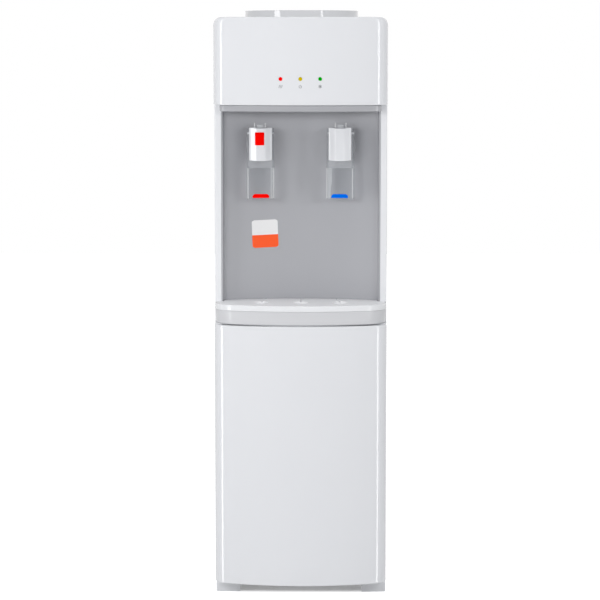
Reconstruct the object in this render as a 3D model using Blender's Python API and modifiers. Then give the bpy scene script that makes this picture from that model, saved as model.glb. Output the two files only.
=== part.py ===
"""Free-standing water cooler with a bottle collar, two cup-lever taps, a drip tray and a cabinet door.

Metres, +Z up. The front faces -Y, +X is the viewer's right, and the origin is on the floor
under the middle of the body. The bowed front pieces (head, drip tray, door) stand ahead of a
flat-fronted steel case, and the condenser hangs behind it.
"""
import math

import bmesh
import bpy
from mathutils import Matrix, Vector

# Overall form
BODY_WIDTH = 0.290
BOW_DEPTH = 0.072
CASE_DEPTH = 0.231
CONDENSER_STANDOFF = 0.027
HEAD_TOP = 0.978
UPPER_HEIGHT = 0.512
FRONT_RADIUS = 0.305
CORNER_RADIUS = 0.013
SHOULDER_RADIUS = 0.013

# Fits, walls and roundings that many pieces share
FIT = 0.0003
OVERRUN = 0.010
WALL = 0.0025
SHEET = 0.0012
EDGE_RADIUS = 0.002
ARC_STEPS = 12
CORNER_STEPS = 3
EDGE_STEPS = 2
SHOULDER_STEPS = 3
ROUND_STEPS = 28
SMALL_ROUND_STEPS = 12

# Base pan and steel case
BASE_HEIGHT = 0.026
FOOT_WIDTH = 0.041
FOOT_LENGTH = 0.045
FOOT_TUNNEL_HEIGHT = 0.020
BASE_CORNER_RADIUS = 0.003
CASE_TOP_DROP = 0.018
FLANGE_WIDTH = 0.011
BACK_PANEL_INSET = 0.0015
BAY_TOP_RISE = 0.010
LOUVRE_COUNT = 6
LOUVRE_START = 0.004
LOUVRE_SIDE_INSET = 0.015
LOUVRE_HEIGHT = 0.004
LOUVRE_PITCH = 0.014
LOUVRE_TOP_DROP = 0.071

# Head fascia, indicator lamps and top cover
HEAD_HEIGHT = 0.145
LAMP_RISE = 0.0435
LAMP_PITCH = 0.0325
LAMP_RADIUS = 0.0029
LAMP_PROUD = 0.0004
LAMP_LENGTH = 0.006
BOARD_WIDTH = 0.100
BOARD_HEIGHT = 0.022
BOARD_THICKNESS = 0.0016
BOARD_POST_RADIUS = 0.003
BOARD_POST_OFFSET = 0.042
LID_WALL = 0.0025

# Recess behind the taps, and the hood that closes its top
COLUMN_WIDTH = 0.0135
RECESS_DEPTH = 0.115
RECESS_RADIUS = 0.360
RECESS_CORNER = 0.006
RECESS_WALL = 0.0022
HOOD_HEIGHT = 0.0105
HOOD_SETBACK = 0.006
HOOD_SIDE_INSET = 0.0105
HOOD_CORNER = 0.010

# Bottle collar and probe
COLLAR_RADIUS = 0.0975
COLLAR_RISE = 0.012
COLLAR_HOLE_RADIUS = 0.086
COLLAR_MOUTH_RADIUS = 0.088
COLLAR_NECK_RADIUS = 0.033
COLLAR_NECK_HEIGHT = 0.020
COLLAR_NECK_GAP = 0.007
COLLAR_WALL = 0.0025
COLLAR_RIM = 0.003
COLLAR_RIM_SHARE = 0.3
PROBE_RADIUS = 0.009
PROBE_BORE = 0.005
PROBE_HEIGHT = 0.048
PROBE_TIP_SHARE = 0.75
PROBE_SPOKES = 3
PROBE_SPOKE_WIDTH = 0.004
PROBE_SPOKE_HEIGHT = 0.008
PROBE_FOOT_RISE = 0.002

# Cold tank, evaporator and insulation
COLD_TANK_WALL = 0.0015
COLD_TANK_HEIGHT = 0.157
COLD_TANK_DROP = 0.073
TANK_LID_THICKNESS = 0.004
INSULATION_FRONT_GAP = 0.0028
INSULATION_REAR_GAP = 0.0403
INSULATION_THICKNESS = 0.020
INSULATION_FLOOR = 0.008
COIL_TUBE_RADIUS = 0.003
COIL_TURNS = 6
COIL_POINTS = 10
COIL_RISE = 0.017
COIL_PITCH = 0.018
BRACKET_SHEET = 0.0015
BRACKET_FLANGE = 0.040
COLD_BRACKET_HALF_WIDTH = 0.055

# Hot tank and its heater
HOT_TANK_FRONT_GAP = 0.0398
HOT_TANK_REAR_GAP = 0.0473
HOT_TANK_DROP = 0.053
HOT_TANK_FLOOR_GAP = 0.0673
HOT_TANK_DOME = 0.012
DOME_BREAK_SHARE = 0.3
DOME_FOOT_SHARE = 0.25
HEATER_THICKNESS = 0.003
HEATER_HEIGHT = 0.030
HEATER_RISE = 0.012
HOT_BRACKET_HALF_WIDTH = 0.045
THERMOSTAT_RADIUS = 0.009
THERMOSTAT_DEPTH = 0.008
THERMOSTAT_DROP = 0.024

# Taps
TAP_SPACING = 0.1375
TAP_TURN = math.radians(6)
TAP_BOSS_RADIUS = 0.021
TAP_BOSS_PROUD = 0.012
TAP_BOSS_DEPTH = 0.013
BARREL_REACH = 0.024
BARREL_RADIUS = 0.009
BARREL_BORE = 0.0045
SHANK_DROP = 0.0605
SPOUT_DROP = 0.0225
BARREL_RISE = 0.010
SHANK_RADIUS = 0.007
SHANK_BORE = 0.004
SHANK_TAIL = 0.014
TAP_FLANGE_RADIUS = 0.012
TAP_FLANGE_THICKNESS = 0.0025
NUT_RADIUS = 0.0125
NUT_THICKNESS = 0.006
NUT_SIDES = 6
PLUNGER_CLEARANCE = 0.0003
PLUNGER_DEPTH = 0.030
PLUNGER_BAR_HALF_LENGTH = 0.0115
PLUNGER_BAR_HALF_WIDTH = 0.004
PLUNGER_BAR_HEIGHT = 0.004
LIFTER_HALF_WIDTH = 0.0015
LIFTER_HEIGHT = 0.003
LIFTER_CLEARANCE = 0.0006
CAP_HALF_WIDTH = 0.01925
CAP_REACH = 0.027
CAP_DEPTH = 0.038
CAP_WASHER_RADIUS = 0.004
CAP_DROP = 0.0225
CAP_RISE = 0.0325
CAP_FRONT_RADIUS = 0.040
CAP_CORNER = 0.003
CAP_WALL = 0.0018
CAP_STEPS = 6
POST_STEPS = 8
POST_OFFSET = 0.0090
POST_RADIUS = 0.0014
POST_RISE = 0.008
POST_SETBACK = 0.020
PIVOT_REACH = 0.0125
PIVOT_RISE = 0.023
LUG_HALF_WIDTH = 0.004
LUG_HALF_DEPTH = 0.003
LUG_DROP = 0.012
PIVOT_RADIUS = 0.0018
LEVER_HALF_WIDTH = 0.0225
LEVER_WALL = 0.0018
LEVER_REACH = 0.0235
LEVER_DROP = 0.0886
LEVER_WINDOW = 0.0122
LEVER_TOP_RADIUS = 0.008
LEVER_EYE_SHARES = (0.90, 0.81)
LEVER_LOWER_DEPTH = 0.022
LEVER_CORNER = 0.003
PAD_HALF_WIDTH = 0.0142
PAD_RISE = 0.002
PAD_HEIGHT = 0.0069
PAD_CHAMFER = 0.003
PAD_THICKNESS = 0.0010
LOCK_OFFSET = 0.0013
LOCK_HALF_WIDTH = 0.00775
LOCK_RISE = 0.0257
LOCK_HEIGHT = 0.0218
LOCK_PROUD = 0.0015
LOCK_LENGTH = 0.0074
LOCK_CORNER = 0.0012

# Drip tray, its cover and the deck that carries them
DECK_THICKNESS = 0.0017
DECK_FRONT_SETBACK = 0.008
DECK_SIDE_INSET = 0.001
DECK_REAR_REACH = 0.110
STATION_HEIGHT = 0.0355
COVER_SKIRT = 0.0102
COVER_PLATE = 0.005
TRAY_REAR_CLEARANCE = 0.0012
TRAY_WALL = 0.0022
TRAY_DRAFT = 0.0016
TRAY_RIM_INSET = 0.0006
DRAIN_PITCH = 0.066
DRAIN_SETBACK = 0.050
DRAIN_HALF_WIDTH = 0.0145
DRAIN_HALF_LENGTH = 0.0205
DRAIN_DEPTH = 0.0032
DRAIN_HOLE_RADIUS = 0.0045
DRAIN_HOLE_SHIFT = 0.007
DISH_STEPS = 16
GROOVE_WIDTH = 0.0036
GROOVE_DEPTH = 0.0010
GROOVE_SIDE_DROP = 0.009
GROOVE_START_SHARE = 0.9
GROOVE_LEAN_SHARE = 0.92
DISH_SHARES = (0.5, 1.5)

# Door and its pivots
DOOR_BOTTOM_GAP = 0.0005
DOOR_TOP_GAP = 0.0022
DOOR_REAR_GAP = 0.0045
DOOR_LINER_THICKNESS = 0.002
HINGE_INSET_X = 0.0065
HINGE_INSET_Y = 0.0055
HINGE_PIN_RADIUS = 0.0025
HINGE_PIN_REACH = 0.008
HINGE_TAB_THICKNESS = 0.0035
HINGE_TAB_WIDTH = 0.017
HINGE_TAB_NOSE = 0.006
CATCH_WIDTH = 0.016
CATCH_HEIGHT = 0.0115
CATCH_DEPTH = 0.014
CATCH_SIDE_INSET = 0.008

# Cabinet liner inside the door
LINER_WALL = 0.0015
LINER_STEP_RISE = 0.019
LINER_REAR_GAP = 0.025
LINER_CORNER = 0.008

# Compressor and refrigeration pipes
COMPRESSOR_RADIUS = 0.056
COMPRESSOR_HEIGHT = 0.145
COMPRESSOR_RISE = 0.012
COMPRESSOR_X = 0.015
COMPRESSOR_REAR_GAP = 0.005
COMPRESSOR_FRONT_GAP = 0.0097
COMPRESSOR_PLATE = 0.003
COMPRESSOR_PLATE_HALF = 0.060
PLATE_CORNER = 0.010
MOUNT_WIDTH = 0.016
COMPRESSOR_SHARES = (
    (0.0, 1.0),
    (0.60, 1.0),
    (0.83, 0.905),
    (0.94, 0.79),
    (0.95, 0.48),
    (1.0, 0.48),
    (1.0, 0.44),
    (0.93, 0.44),
    (0.88, 0.115),
    (0.60, 0.01),
    (0.0, 0.01),
)
CONDENSER_RUNS = 8
CONDENSER_PITCH = 0.056
CONDENSER_SIDE_INSET = 0.055
CONDENSER_RISE = 0.110
CONDENSER_TUBE_RADIUS = 0.0025
CONDENSER_BEND_STEPS = 4
WIRE_COUNT = 11
WIRE_THICKNESS = 0.0016
WIRE_SINK = 0.0008
WIRE_OVERHANG = 0.020
HANGER_HALF_SPAN = 0.085
HANGER_WIDTH = 0.012
PIPE_RADIUS = 0.0025
DRIER_RADIUS = 0.008
DRIER_LENGTH = 0.080
DRIER_NECK = 0.010

# Fittings on the back panel
FITTING_SIDE_INSET = 0.060
FITTING_RISE = 0.040
SWITCH_PITCH = 0.030
SWITCH_DROP = 0.110
SWITCH_HALF_WIDTH = 0.0085
SWITCH_HALF_HEIGHT = 0.0125
SWITCH_BEZEL = 0.0025
SWITCH_BEZEL_THICKNESS = 0.002
SWITCH_BODY_DEPTH = 0.014
ROCKER_HALF_WIDTH = 0.0062
ROCKER_HALF_HEIGHT = 0.0085
ROCKER_CLEARANCE = 0.0008
ROCKER_TILT = math.radians(8)
ROCKER_PROUD = 0.0030
ROCKER_DIP = 0.0012
ROCKER_BODY = 0.0035
ROCKER_SHARES = (0.85, 0.97)
INLET_HALF_WIDTH = 0.0138
INLET_HALF_HEIGHT = 0.0100
INLET_BEZEL = 0.003
INLET_BEZEL_THICKNESS = 0.002
INLET_BODY_DEPTH = 0.020
INLET_WALL = 0.0018
INLET_CAVITY_DEPTH = 0.016
INLET_PIN_WIDTH = 0.002
INLET_PIN_HEIGHT = 0.004
INLET_PIN_LENGTH = 0.012
INLET_PIN_PITCH = 0.007
DRAIN_PIPE_RADIUS = 0.007
DRAIN_PIPE_BORE = 0.0045
DRAIN_PIPE_REACH = 0.014
DRAIN_INNER_REACH = 0.008
DRAIN_FLANGE_RADIUS = 0.011
DRAIN_FLANGE_THICKNESS = 0.002
DRAIN_CAP_WALL = 0.002
DRAIN_CAP_LENGTH = 0.012

# Silicone hoses
HOSE_RADIUS = 0.005
HOSE_STEPS = 4
HOT_INLET_SHARES = (0.6, 0.3125)
PIPE_STEPS = 3

# Depths that follow from the sizes above
OVERALL_DEPTH = BOW_DEPTH + CASE_DEPTH + CONDENSER_STANDOFF
FRONT_Y = -OVERALL_DEPTH / 2
REAR_Y = OVERALL_DEPTH / 2
CASE_FRONT_Y = FRONT_Y + BOW_DEPTH
CASE_REAR_Y = CASE_FRONT_Y + CASE_DEPTH
MODULE_BACK_Y = CASE_FRONT_Y - FIT
DOOR_BACK_Y = CASE_FRONT_Y - DOOR_REAR_GAP
BACK_PANEL_OUTER_Y = CASE_REAR_Y - BACK_PANEL_INSET
BACK_PANEL_INNER_Y = BACK_PANEL_OUTER_Y - SHEET
RECESS_BACK_Y = FRONT_Y + RECESS_DEPTH
RECESS_REAR_Y = RECESS_BACK_Y + RECESS_WALL
ROOM_DEPTH = BACK_PANEL_INNER_Y - RECESS_REAR_Y
INSULATION_RADIUS = (ROOM_DEPTH - INSULATION_FRONT_GAP - INSULATION_REAR_GAP) / 2
COLD_TANK_RADIUS = INSULATION_RADIUS - INSULATION_THICKNESS
COLLAR_CENTRE_Y = RECESS_REAR_Y + INSULATION_FRONT_GAP + INSULATION_RADIUS
HOT_TANK_RADIUS = (ROOM_DEPTH - HOT_TANK_FRONT_GAP - HOT_TANK_REAR_GAP) / 2
HOT_TANK_Y = RECESS_REAR_Y + HOT_TANK_FRONT_GAP + HOT_TANK_RADIUS
BOSS_FRONT_Y = RECESS_BACK_Y - TAP_BOSS_PROUD
BOSS_REAR_Y = BOSS_FRONT_Y + TAP_BOSS_DEPTH
BARREL_Y = BOSS_FRONT_Y - BARREL_REACH
PIVOT_Y = BARREL_Y - PIVOT_REACH
CAP_FRONT_Y = BARREL_Y - CAP_REACH
LEVER_FRONT_Y = BARREL_Y - LEVER_REACH
HINGE_Y = DOOR_BACK_Y - HINGE_INSET_Y
COMPRESSOR_Y = CASE_REAR_Y - COMPRESSOR_REAR_GAP - COMPRESSOR_PLATE_HALF
LINER_FRONT_Y = CASE_FRONT_Y + FIT
LINER_STEP_Y = COMPRESSOR_Y - COMPRESSOR_PLATE_HALF - COMPRESSOR_FRONT_GAP
LINER_REAR_Y = BACK_PANEL_INNER_Y - LINER_REAR_GAP
CONDENSER_Y = REAR_Y - CONDENSER_TUBE_RADIUS - WIRE_THICKNESS + WIRE_SINK

# Sideways places that follow
HALF_WIDTH = BODY_WIDTH / 2
FLANGE_EDGE_X = HALF_WIDTH - FLANGE_WIDTH
RECESS_HALF_WIDTH = HALF_WIDTH - COLUMN_WIDTH
HOOD_HALF_WIDTH = HALF_WIDTH - HOOD_SIDE_INSET
HINGE_X = HALF_WIDTH - HINGE_INSET_X
CONDENSER_HALF_WIDTH = HALF_WIDTH - CONDENSER_SIDE_INSET
INLET_X = HALF_WIDTH - FITTING_SIDE_INSET
SWITCH_X = -INLET_X
DRAIN_PIPE_X = -INLET_X

# Heights that follow
CASE_TOP = HEAD_TOP - CASE_TOP_DROP
LID_BOTTOM = CASE_TOP + FIT
HEAD_BOTTOM = HEAD_TOP - HEAD_HEIGHT
LAMP_HEIGHT = HEAD_BOTTOM + LAMP_RISE
HOOD_BOTTOM = HEAD_BOTTOM - HOOD_HEIGHT
COLD_TANK_TOP = HEAD_TOP - COLD_TANK_DROP
COLD_TANK_BOTTOM = COLD_TANK_TOP - COLD_TANK_HEIGHT
COIL_BOTTOM = COLD_TANK_BOTTOM + COIL_RISE
COLLAR_NECK_BOTTOM = COLD_TANK_TOP + COLLAR_NECK_GAP
COLLAR_NECK_TOP = COLLAR_NECK_BOTTOM + COLLAR_NECK_HEIGHT
PROBE_FOOT_HEIGHT = COLLAR_NECK_BOTTOM + PROBE_FOOT_RISE
PROBE_TOP = PROBE_FOOT_HEIGHT + PROBE_HEIGHT
HOT_TANK_TOP = COLD_TANK_BOTTOM - HOT_TANK_DROP
SHANK_HEIGHT = HOOD_BOTTOM - SHANK_DROP
SPOUT_HEIGHT = SHANK_HEIGHT - SPOUT_DROP
BARREL_TOP = SHANK_HEIGHT + BARREL_RISE
PIVOT_HEIGHT = SHANK_HEIGHT + PIVOT_RISE
LUG_BOTTOM = SHANK_HEIGHT - LUG_DROP
CAP_BOTTOM = SHANK_HEIGHT - CAP_DROP
CAP_TOP = SHANK_HEIGHT + CAP_RISE
LEVER_BOTTOM = SHANK_HEIGHT - LEVER_DROP
LEVER_FRONT_TOP = CAP_BOTTOM - LEVER_WINDOW
PAD_BOTTOM = LEVER_BOTTOM + PAD_RISE
LOCK_BOTTOM = CAP_BOTTOM + LOCK_RISE
LOCK_TOP = LOCK_BOTTOM + LOCK_HEIGHT
DECK_BOTTOM = HEAD_TOP - UPPER_HEIGHT
DECK_TOP = DECK_BOTTOM + DECK_THICKNESS
HOT_TANK_BOTTOM = DECK_TOP + HOT_TANK_FLOOR_GAP
COVER_TOP = DECK_BOTTOM + STATION_HEIGHT
COVER_BOTTOM = COVER_TOP - COVER_SKIRT
TRAY_BOTTOM = DECK_TOP + FIT
TRAY_TOP = COVER_BOTTOM - FIT
DOOR_BOTTOM = BASE_HEIGHT + DOOR_BOTTOM_GAP
DOOR_TOP = DECK_BOTTOM - DOOR_TOP_GAP
PLATE_BOTTOM = BASE_HEIGHT + COMPRESSOR_RISE
COMPRESSOR_TOP = PLATE_BOTTOM + COMPRESSOR_PLATE + COMPRESSOR_HEIGHT
LINER_BOTTOM = BASE_HEIGHT + FIT
LINER_TOP = DECK_BOTTOM - FIT
LINER_STEP_HEIGHT = COMPRESSOR_TOP + LINER_STEP_RISE
BAY_OPENING_TOP = LINER_STEP_HEIGHT + BAY_TOP_RISE
FITTING_HEIGHT = BAY_OPENING_TOP + FITTING_RISE
SWITCH_HEIGHT = CASE_TOP - SWITCH_DROP
CONDENSER_BOTTOM = BAY_OPENING_TOP + CONDENSER_RISE
CONDENSER_TOP = CONDENSER_BOTTOM + CONDENSER_PITCH * (CONDENSER_RUNS - 1)

PARTS_NAME = "water_cooler"
CUTTERS_NAME = "cutters"


def clear_scene():
    """Remove every object of the starting scene."""
    for item in list(bpy.data.objects):
        bpy.data.objects.remove(item, do_unlink=True)


def add_collection(name):
    """Make a collection under the scene and return it."""
    group = bpy.data.collections.new(name)
    bpy.context.scene.collection.children.link(group)
    return group


clear_scene()
PARTS = add_collection(PARTS_NAME)
CUTTERS = add_collection(CUTTERS_NAME)


def make_finish(name, colour, roughness, metallic=0.0, transmission=0.0):
    """Make a Principled material."""
    material = bpy.data.materials.new(name)
    material.use_nodes = True
    shader = material.node_tree.nodes["Principled BSDF"]
    shader.inputs["Base Color"].default_value = (*colour, 1.0)
    shader.inputs["Roughness"].default_value = roughness
    shader.inputs["Metallic"].default_value = metallic
    shader.inputs["Transmission Weight"].default_value = transmission
    material.diffuse_color = (*colour, 1.0)
    return material


GLOSS_WHITE = make_finish("gloss_white", (0.80, 0.81, 0.83), 0.25)
PAINT_WHITE = make_finish("paint_white", (0.78, 0.79, 0.81), 0.40)
SATIN_GREY = make_finish("satin_grey", (0.38, 0.39, 0.41), 0.30)
COLLAR_GREY = make_finish("collar_grey", (0.62, 0.63, 0.65), 0.30)
CLEAR = make_finish("clear", (0.86, 0.88, 0.90), 0.08, 0.0, 0.9)
RED = make_finish("red", (0.90, 0.02, 0.01), 0.35)
BLUE = make_finish("blue", (0.01, 0.13, 0.83), 0.35)
YELLOW = make_finish("yellow", (0.75, 0.60, 0.05), 0.30)
GREEN = make_finish("green", (0.02, 0.45, 0.08), 0.30)
BLACK = make_finish("black", (0.02, 0.02, 0.022), 0.50)
BLACK_ENAMEL = make_finish("black_enamel", (0.03, 0.03, 0.035), 0.35)
STEEL = make_finish("steel", (0.60, 0.61, 0.62), 0.35, 1.0)
ZINC_SHEET = make_finish("zinc_sheet", (0.55, 0.57, 0.58), 0.45, 1.0)
COPPER = make_finish("copper", (0.72, 0.38, 0.24), 0.35, 1.0)
FOAM = make_finish("foam", (0.10, 0.10, 0.11), 0.90)
BOARD_GREEN = make_finish("board_green", (0.03, 0.20, 0.08), 0.60)
HOSE_CLEAR = make_finish("hose_clear", (0.75, 0.76, 0.74), 0.45)


def place(name, mesh, finish, matrix=None):
    """Link a mesh as a part, or as a hidden cutter when it has no finish."""
    item = bpy.data.objects.new(name, mesh)
    if finish is None:
        CUTTERS.objects.link(item)
        item.hide_render = True
        item.display_type = "WIRE"
    else:
        PARTS.objects.link(item)
        mesh.materials.clear()
        mesh.materials.append(finish)
    if matrix is not None:
        item.matrix_world = matrix
    return item


def smooth_round(item, degrees=35):
    """Shade a rounded piece smooth and keep its real corners sharp."""
    item.data.shade_smooth()
    item.data.set_sharp_from_angle(angle=math.radians(degrees))
    return item


def move_origin(item, point):
    """Put an object's origin at a world point without moving its shape."""
    bpy.context.view_layer.update()
    target = Matrix.Translation(point)
    item.data.transform(target.inverted() @ item.matrix_world)
    item.matrix_world = target
    return item


def mesh_from_curve(name, curve, matrix):
    """Turn a curve into a closed mesh and remove the curve."""
    guide = bpy.data.objects.new(name, curve)
    CUTTERS.objects.link(guide)
    guide.matrix_world = matrix
    bpy.context.view_layer.update()
    graph = bpy.context.evaluated_depsgraph_get()
    mesh = bpy.data.meshes.new_from_object(guide.evaluated_get(graph))
    shell = bmesh.new()
    shell.from_mesh(mesh)
    bmesh.ops.remove_doubles(shell, verts=shell.verts, dist=FIT / 30)
    bmesh.ops.recalc_face_normals(shell, faces=shell.faces)
    shell.to_mesh(mesh)
    shell.free()
    bpy.data.objects.remove(guide, do_unlink=True)
    bpy.data.curves.remove(curve)
    mesh.name = name
    return mesh


def axis_frame(along, middle):
    """Frame whose local Z runs along a world axis, through a middle distance on that axis."""
    if along == "X":
        turn = Matrix(((0, 0, 1), (1, 0, 0), (0, 1, 0)))
        shift = Vector((middle, 0, 0))
    elif along == "Y":
        turn = Matrix(((1, 0, 0), (0, 0, -1), (0, 1, 0)))
        shift = Vector((0, middle, 0))
    else:
        turn = Matrix.Identity(3)
        shift = Vector((0, 0, middle))
    return Matrix.Translation(shift) @ turn.to_4x4()


def prism(name, outline, low, high, finish=None, along="Z"):
    """Flat outline pushed out from low to high; (x, y) along Z, (y, z) along X, (x, z) along Y."""
    curve = bpy.data.curves.new(name, "CURVE")
    curve.dimensions = "2D"
    curve.fill_mode = "BOTH"
    curve.extrude = (high - low) / 2
    spline = curve.splines.new("POLY")
    spline.points.add(len(outline) - 1)
    for point, (u, v) in zip(spline.points, outline):
        point.co = (u, v, 0, 1)
    spline.use_cyclic_u = True
    matrix = axis_frame(along, (low + high) / 2)
    mesh = mesh_from_curve(name, curve, matrix)
    return smooth_round(place(name, mesh, finish, matrix))


def box(name, low, high, finish=None):
    """Box between two corners."""
    size = Vector(high) - Vector(low)
    mesh = bpy.data.meshes.new(name)
    shell = bmesh.new()
    bmesh.ops.create_cube(shell, size=1)
    bmesh.ops.scale(shell, vec=size, verts=shell.verts)
    shell.to_mesh(mesh)
    shell.free()
    middle = (Vector(low) + Vector(high)) / 2
    return place(name, mesh, finish, Matrix.Translation(middle))


def rod(name, radius, start, end, finish=None, steps=SMALL_ROUND_STEPS):
    """Round rod between two points."""
    start = Vector(start)
    end = Vector(end)
    run = end - start
    mesh = bpy.data.meshes.new(name)
    shell = bmesh.new()
    bmesh.ops.create_cone(
        shell, cap_ends=True, segments=steps, radius1=radius, radius2=radius, depth=run.length
    )
    shell.to_mesh(mesh)
    shell.free()
    turn = run.to_track_quat("Z", "Y").to_matrix().to_4x4()
    matrix = Matrix.Translation((start + end) / 2) @ turn
    return smooth_round(place(name, mesh, finish, matrix))


def turned(name, profile, centre, finish=None, steps=ROUND_STEPS, closed=False):
    """Turned piece about a vertical axis; the profile of (radius, height) runs down its outer side."""
    mesh = bpy.data.meshes.new(name)
    points = [(radius, 0, height) for radius, height in profile]
    edges = [(i, i + 1) for i in range(len(points) - 1)]
    if closed:
        edges.append((len(points) - 1, 0))
    mesh.from_pydata(points, edges, [])
    item = place(name, mesh, finish, Matrix.Translation(centre))
    screw = item.modifiers.new("turn", "SCREW")
    screw.axis = "Z"
    screw.angle = math.tau
    screw.steps = steps
    screw.render_steps = steps
    screw.use_merge_vertices = True
    screw.merge_threshold = FIT / 30
    return item


def tube(name, points, radius, finish=None, resolution=1):
    """Round tube through a list of points, with flat ends."""
    curve = bpy.data.curves.new(name, "CURVE")
    curve.dimensions = "3D"
    curve.bevel_depth = radius
    curve.bevel_resolution = resolution
    curve.use_fill_caps = True
    spline = curve.splines.new("POLY")
    spline.points.add(len(points) - 1)
    for point, place_at in zip(spline.points, points):
        point.co = (*place_at, 1)
    mesh = mesh_from_curve(name, curve, Matrix.Identity(4))
    return smooth_round(place(name, mesh, finish), 50)


def loft(name, sections, finish=None):
    """Closed skin through level outlines that all have the same number of points."""
    mesh = bpy.data.meshes.new(name)
    shell = bmesh.new()
    rings = [[shell.verts.new((x, y, height)) for x, y in outline] for outline, height in sections]
    count = len(rings[0])
    for lower, upper in zip(rings, rings[1:]):
        for i in range(count):
            j = (i + 1) % count
            shell.faces.new((lower[i], lower[j], upper[j], upper[i]))
    shell.faces.new(rings[0])
    shell.faces.new(rings[-1])
    bmesh.ops.recalc_face_normals(shell, faces=shell.faces)
    shell.to_mesh(mesh)
    shell.free()
    return smooth_round(place(name, mesh, finish))


def combine(target, tool, operation):
    """Add a Boolean with a cutter to a part."""
    tool.hide_render = True
    modifier = target.modifiers.new(operation.lower(), "BOOLEAN")
    modifier.operation = operation
    modifier.solver = "EXACT"
    modifier.object = tool
    return target


def cut(target, *tools):
    """Take the cutters' shapes out of a part."""
    for tool in tools:
        combine(target, tool, "DIFFERENCE")
    return target


def join(target, *tools):
    """Fuse the cutters' shapes to a part."""
    for tool in tools:
        combine(target, tool, "UNION")
    return target


def arc(centre, radius, start, end, steps):
    """Points on an arc from one angle to another, both ends included."""
    points = []
    for i in range(steps + 1):
        angle = start + (end - start) * i / steps
        points.append((centre[0] + radius * math.cos(angle), centre[1] + radius * math.sin(angle)))
    return points


def bowed_edge(half_width, front_y, back_y, radius, corner, steps=ARC_STEPS):
    """Open plan line: back right, round corner, bowed front, round corner, back left."""
    centre_y = front_y + radius
    corner_x = half_width - corner
    corner_y = centre_y - math.sqrt((radius - corner) ** 2 - corner_x**2)
    sweep = math.asin(corner_x / (radius - corner))
    turn = sweep - math.pi / 2
    right = arc((corner_x, corner_y), corner, 0, turn, CORNER_STEPS)
    front = arc((0, centre_y), radius, turn, -math.pi - turn, steps)
    left = [(-x, y) for x, y in reversed(right)]
    return [(half_width, back_y), *right, *front[1:-1], *left, (-half_width, back_y)]


def mirrored_y(points):
    """The same points on the other side of the Y = 0 line."""
    return [(x, -y) for x, y in points]


def mirrored_x(points):
    """The same points on the other side of the X = 0 line."""
    return [(-x, y) for x, y in points]


def rounded(points, radius, steps=3):
    """Round the corners of a closed outline; radius is one size or one for each corner."""
    sizes = radius if isinstance(radius, (list, tuple)) else [radius] * len(points)
    result = []
    count = len(points)
    for i in range(count):
        here = Vector(points[i])
        before = (Vector(points[i - 1]) - here).normalized()
        after = (Vector(points[(i + 1) % count]) - here).normalized()
        size = sizes[i]
        if size == 0:
            result.append(tuple(here))
            continue
        half = before.angle(after) / 2
        reach = size / math.tan(half)
        centre = here + (before + after).normalized() * (size / math.sin(half))
        start = here + before * reach - centre
        end = here + after * reach - centre
        first = math.atan2(start.y, start.x)
        turn = (math.atan2(end.y, end.x) - first + math.pi) % math.tau - math.pi
        result += arc(centre, size, first, first + turn, steps)
    return result


def end_inset(distance, radius):
    """How far a surface draws in at a distance from an end that is rounded by a radius."""
    if distance >= radius:
        return 0
    return radius - math.sqrt(radius**2 - (radius - max(distance, 0)) ** 2)


def end_levels(radius, steps):
    """Distances from a rounded end at even angles round its rounding."""
    return [radius * (1 - math.cos(math.pi / 2 * i / steps)) for i in range(steps + 1)]


def level_list(low, high, low_radius, high_radii):
    """Heights at which a rounded block needs an outline, lowest first."""
    levels = [low + distance for distance in end_levels(low_radius, EDGE_STEPS)]
    for radius in high_radii:
        steps = EDGE_STEPS if radius <= EDGE_RADIUS else SHOULDER_STEPS
        levels += [high - distance for distance in end_levels(radius, steps)]
    kept = []
    for level in sorted(levels):
        if not kept or level - kept[-1] > FIT / 3:
            kept.append(level)
    kept[-1] = high
    return kept


def bowed_block(name, low, high, back_y, finish=None, shell=0, edge=EDGE_RADIUS, shoulder=0):
    """Block with the bowed front; shell draws every face but the back in by a wall."""
    sections = []
    high_radii = [edge, shoulder - shell] if shoulder else [edge]
    for level in level_list(low + shell, high - shell, edge, high_radii):
        below_top = high - shell - level
        rounding = max(end_inset(level - low - shell, edge), end_inset(below_top, edge))
        side = rounding
        if shoulder:
            side = max(rounding, end_inset(below_top, shoulder - shell))
        outline = bowed_edge(
            HALF_WIDTH - shell - side,
            FRONT_Y + shell + rounding,
            back_y,
            FRONT_RADIUS - shell - rounding,
            CORNER_RADIUS - shell,
        )
        sections.append((outline, level))
    return loft(name, sections, finish)


def bowed_shell(name, low, high, back_y, finish, shoulder=0):
    """Hollow bowed moulding, open at its flat back."""
    outer = bowed_block(name, low, high, back_y, finish, shoulder=shoulder)
    inner = bowed_block(
        name + "_hollow", low, high, back_y + OVERRUN, shell=WALL, edge=EDGE_RADIUS / 2, shoulder=shoulder
    )
    return cut(outer, inner)


def station_outline(half_width, front_y, corner, inset, rear_clearance):
    """Plan of a piece that fills the recess between its walls and bows out ahead of the case."""
    front = bowed_edge(
        half_width - inset, front_y + inset, MODULE_BACK_Y, front_radius_at(front_y + inset), corner - inset
    )
    inner_half = RECESS_HALF_WIDTH - rear_clearance
    rear = mirrored_y(
        bowed_edge(
            inner_half,
            -(RECESS_BACK_Y - rear_clearance),
            -MODULE_BACK_Y,
            RECESS_RADIUS - rear_clearance,
            RECESS_CORNER - rear_clearance,
        )
    )
    return front + mirrored_x(rear)


def front_radius_at(front_y):
    """Radius of the bow that keeps the front arc's centre when its face moves back."""
    return FRONT_RADIUS - (front_y - FRONT_Y)


def bow_y(x):
    """Depth of the bowed face at a sideways place."""
    return FRONT_Y + FRONT_RADIUS - math.sqrt(FRONT_RADIUS**2 - x**2)


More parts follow.
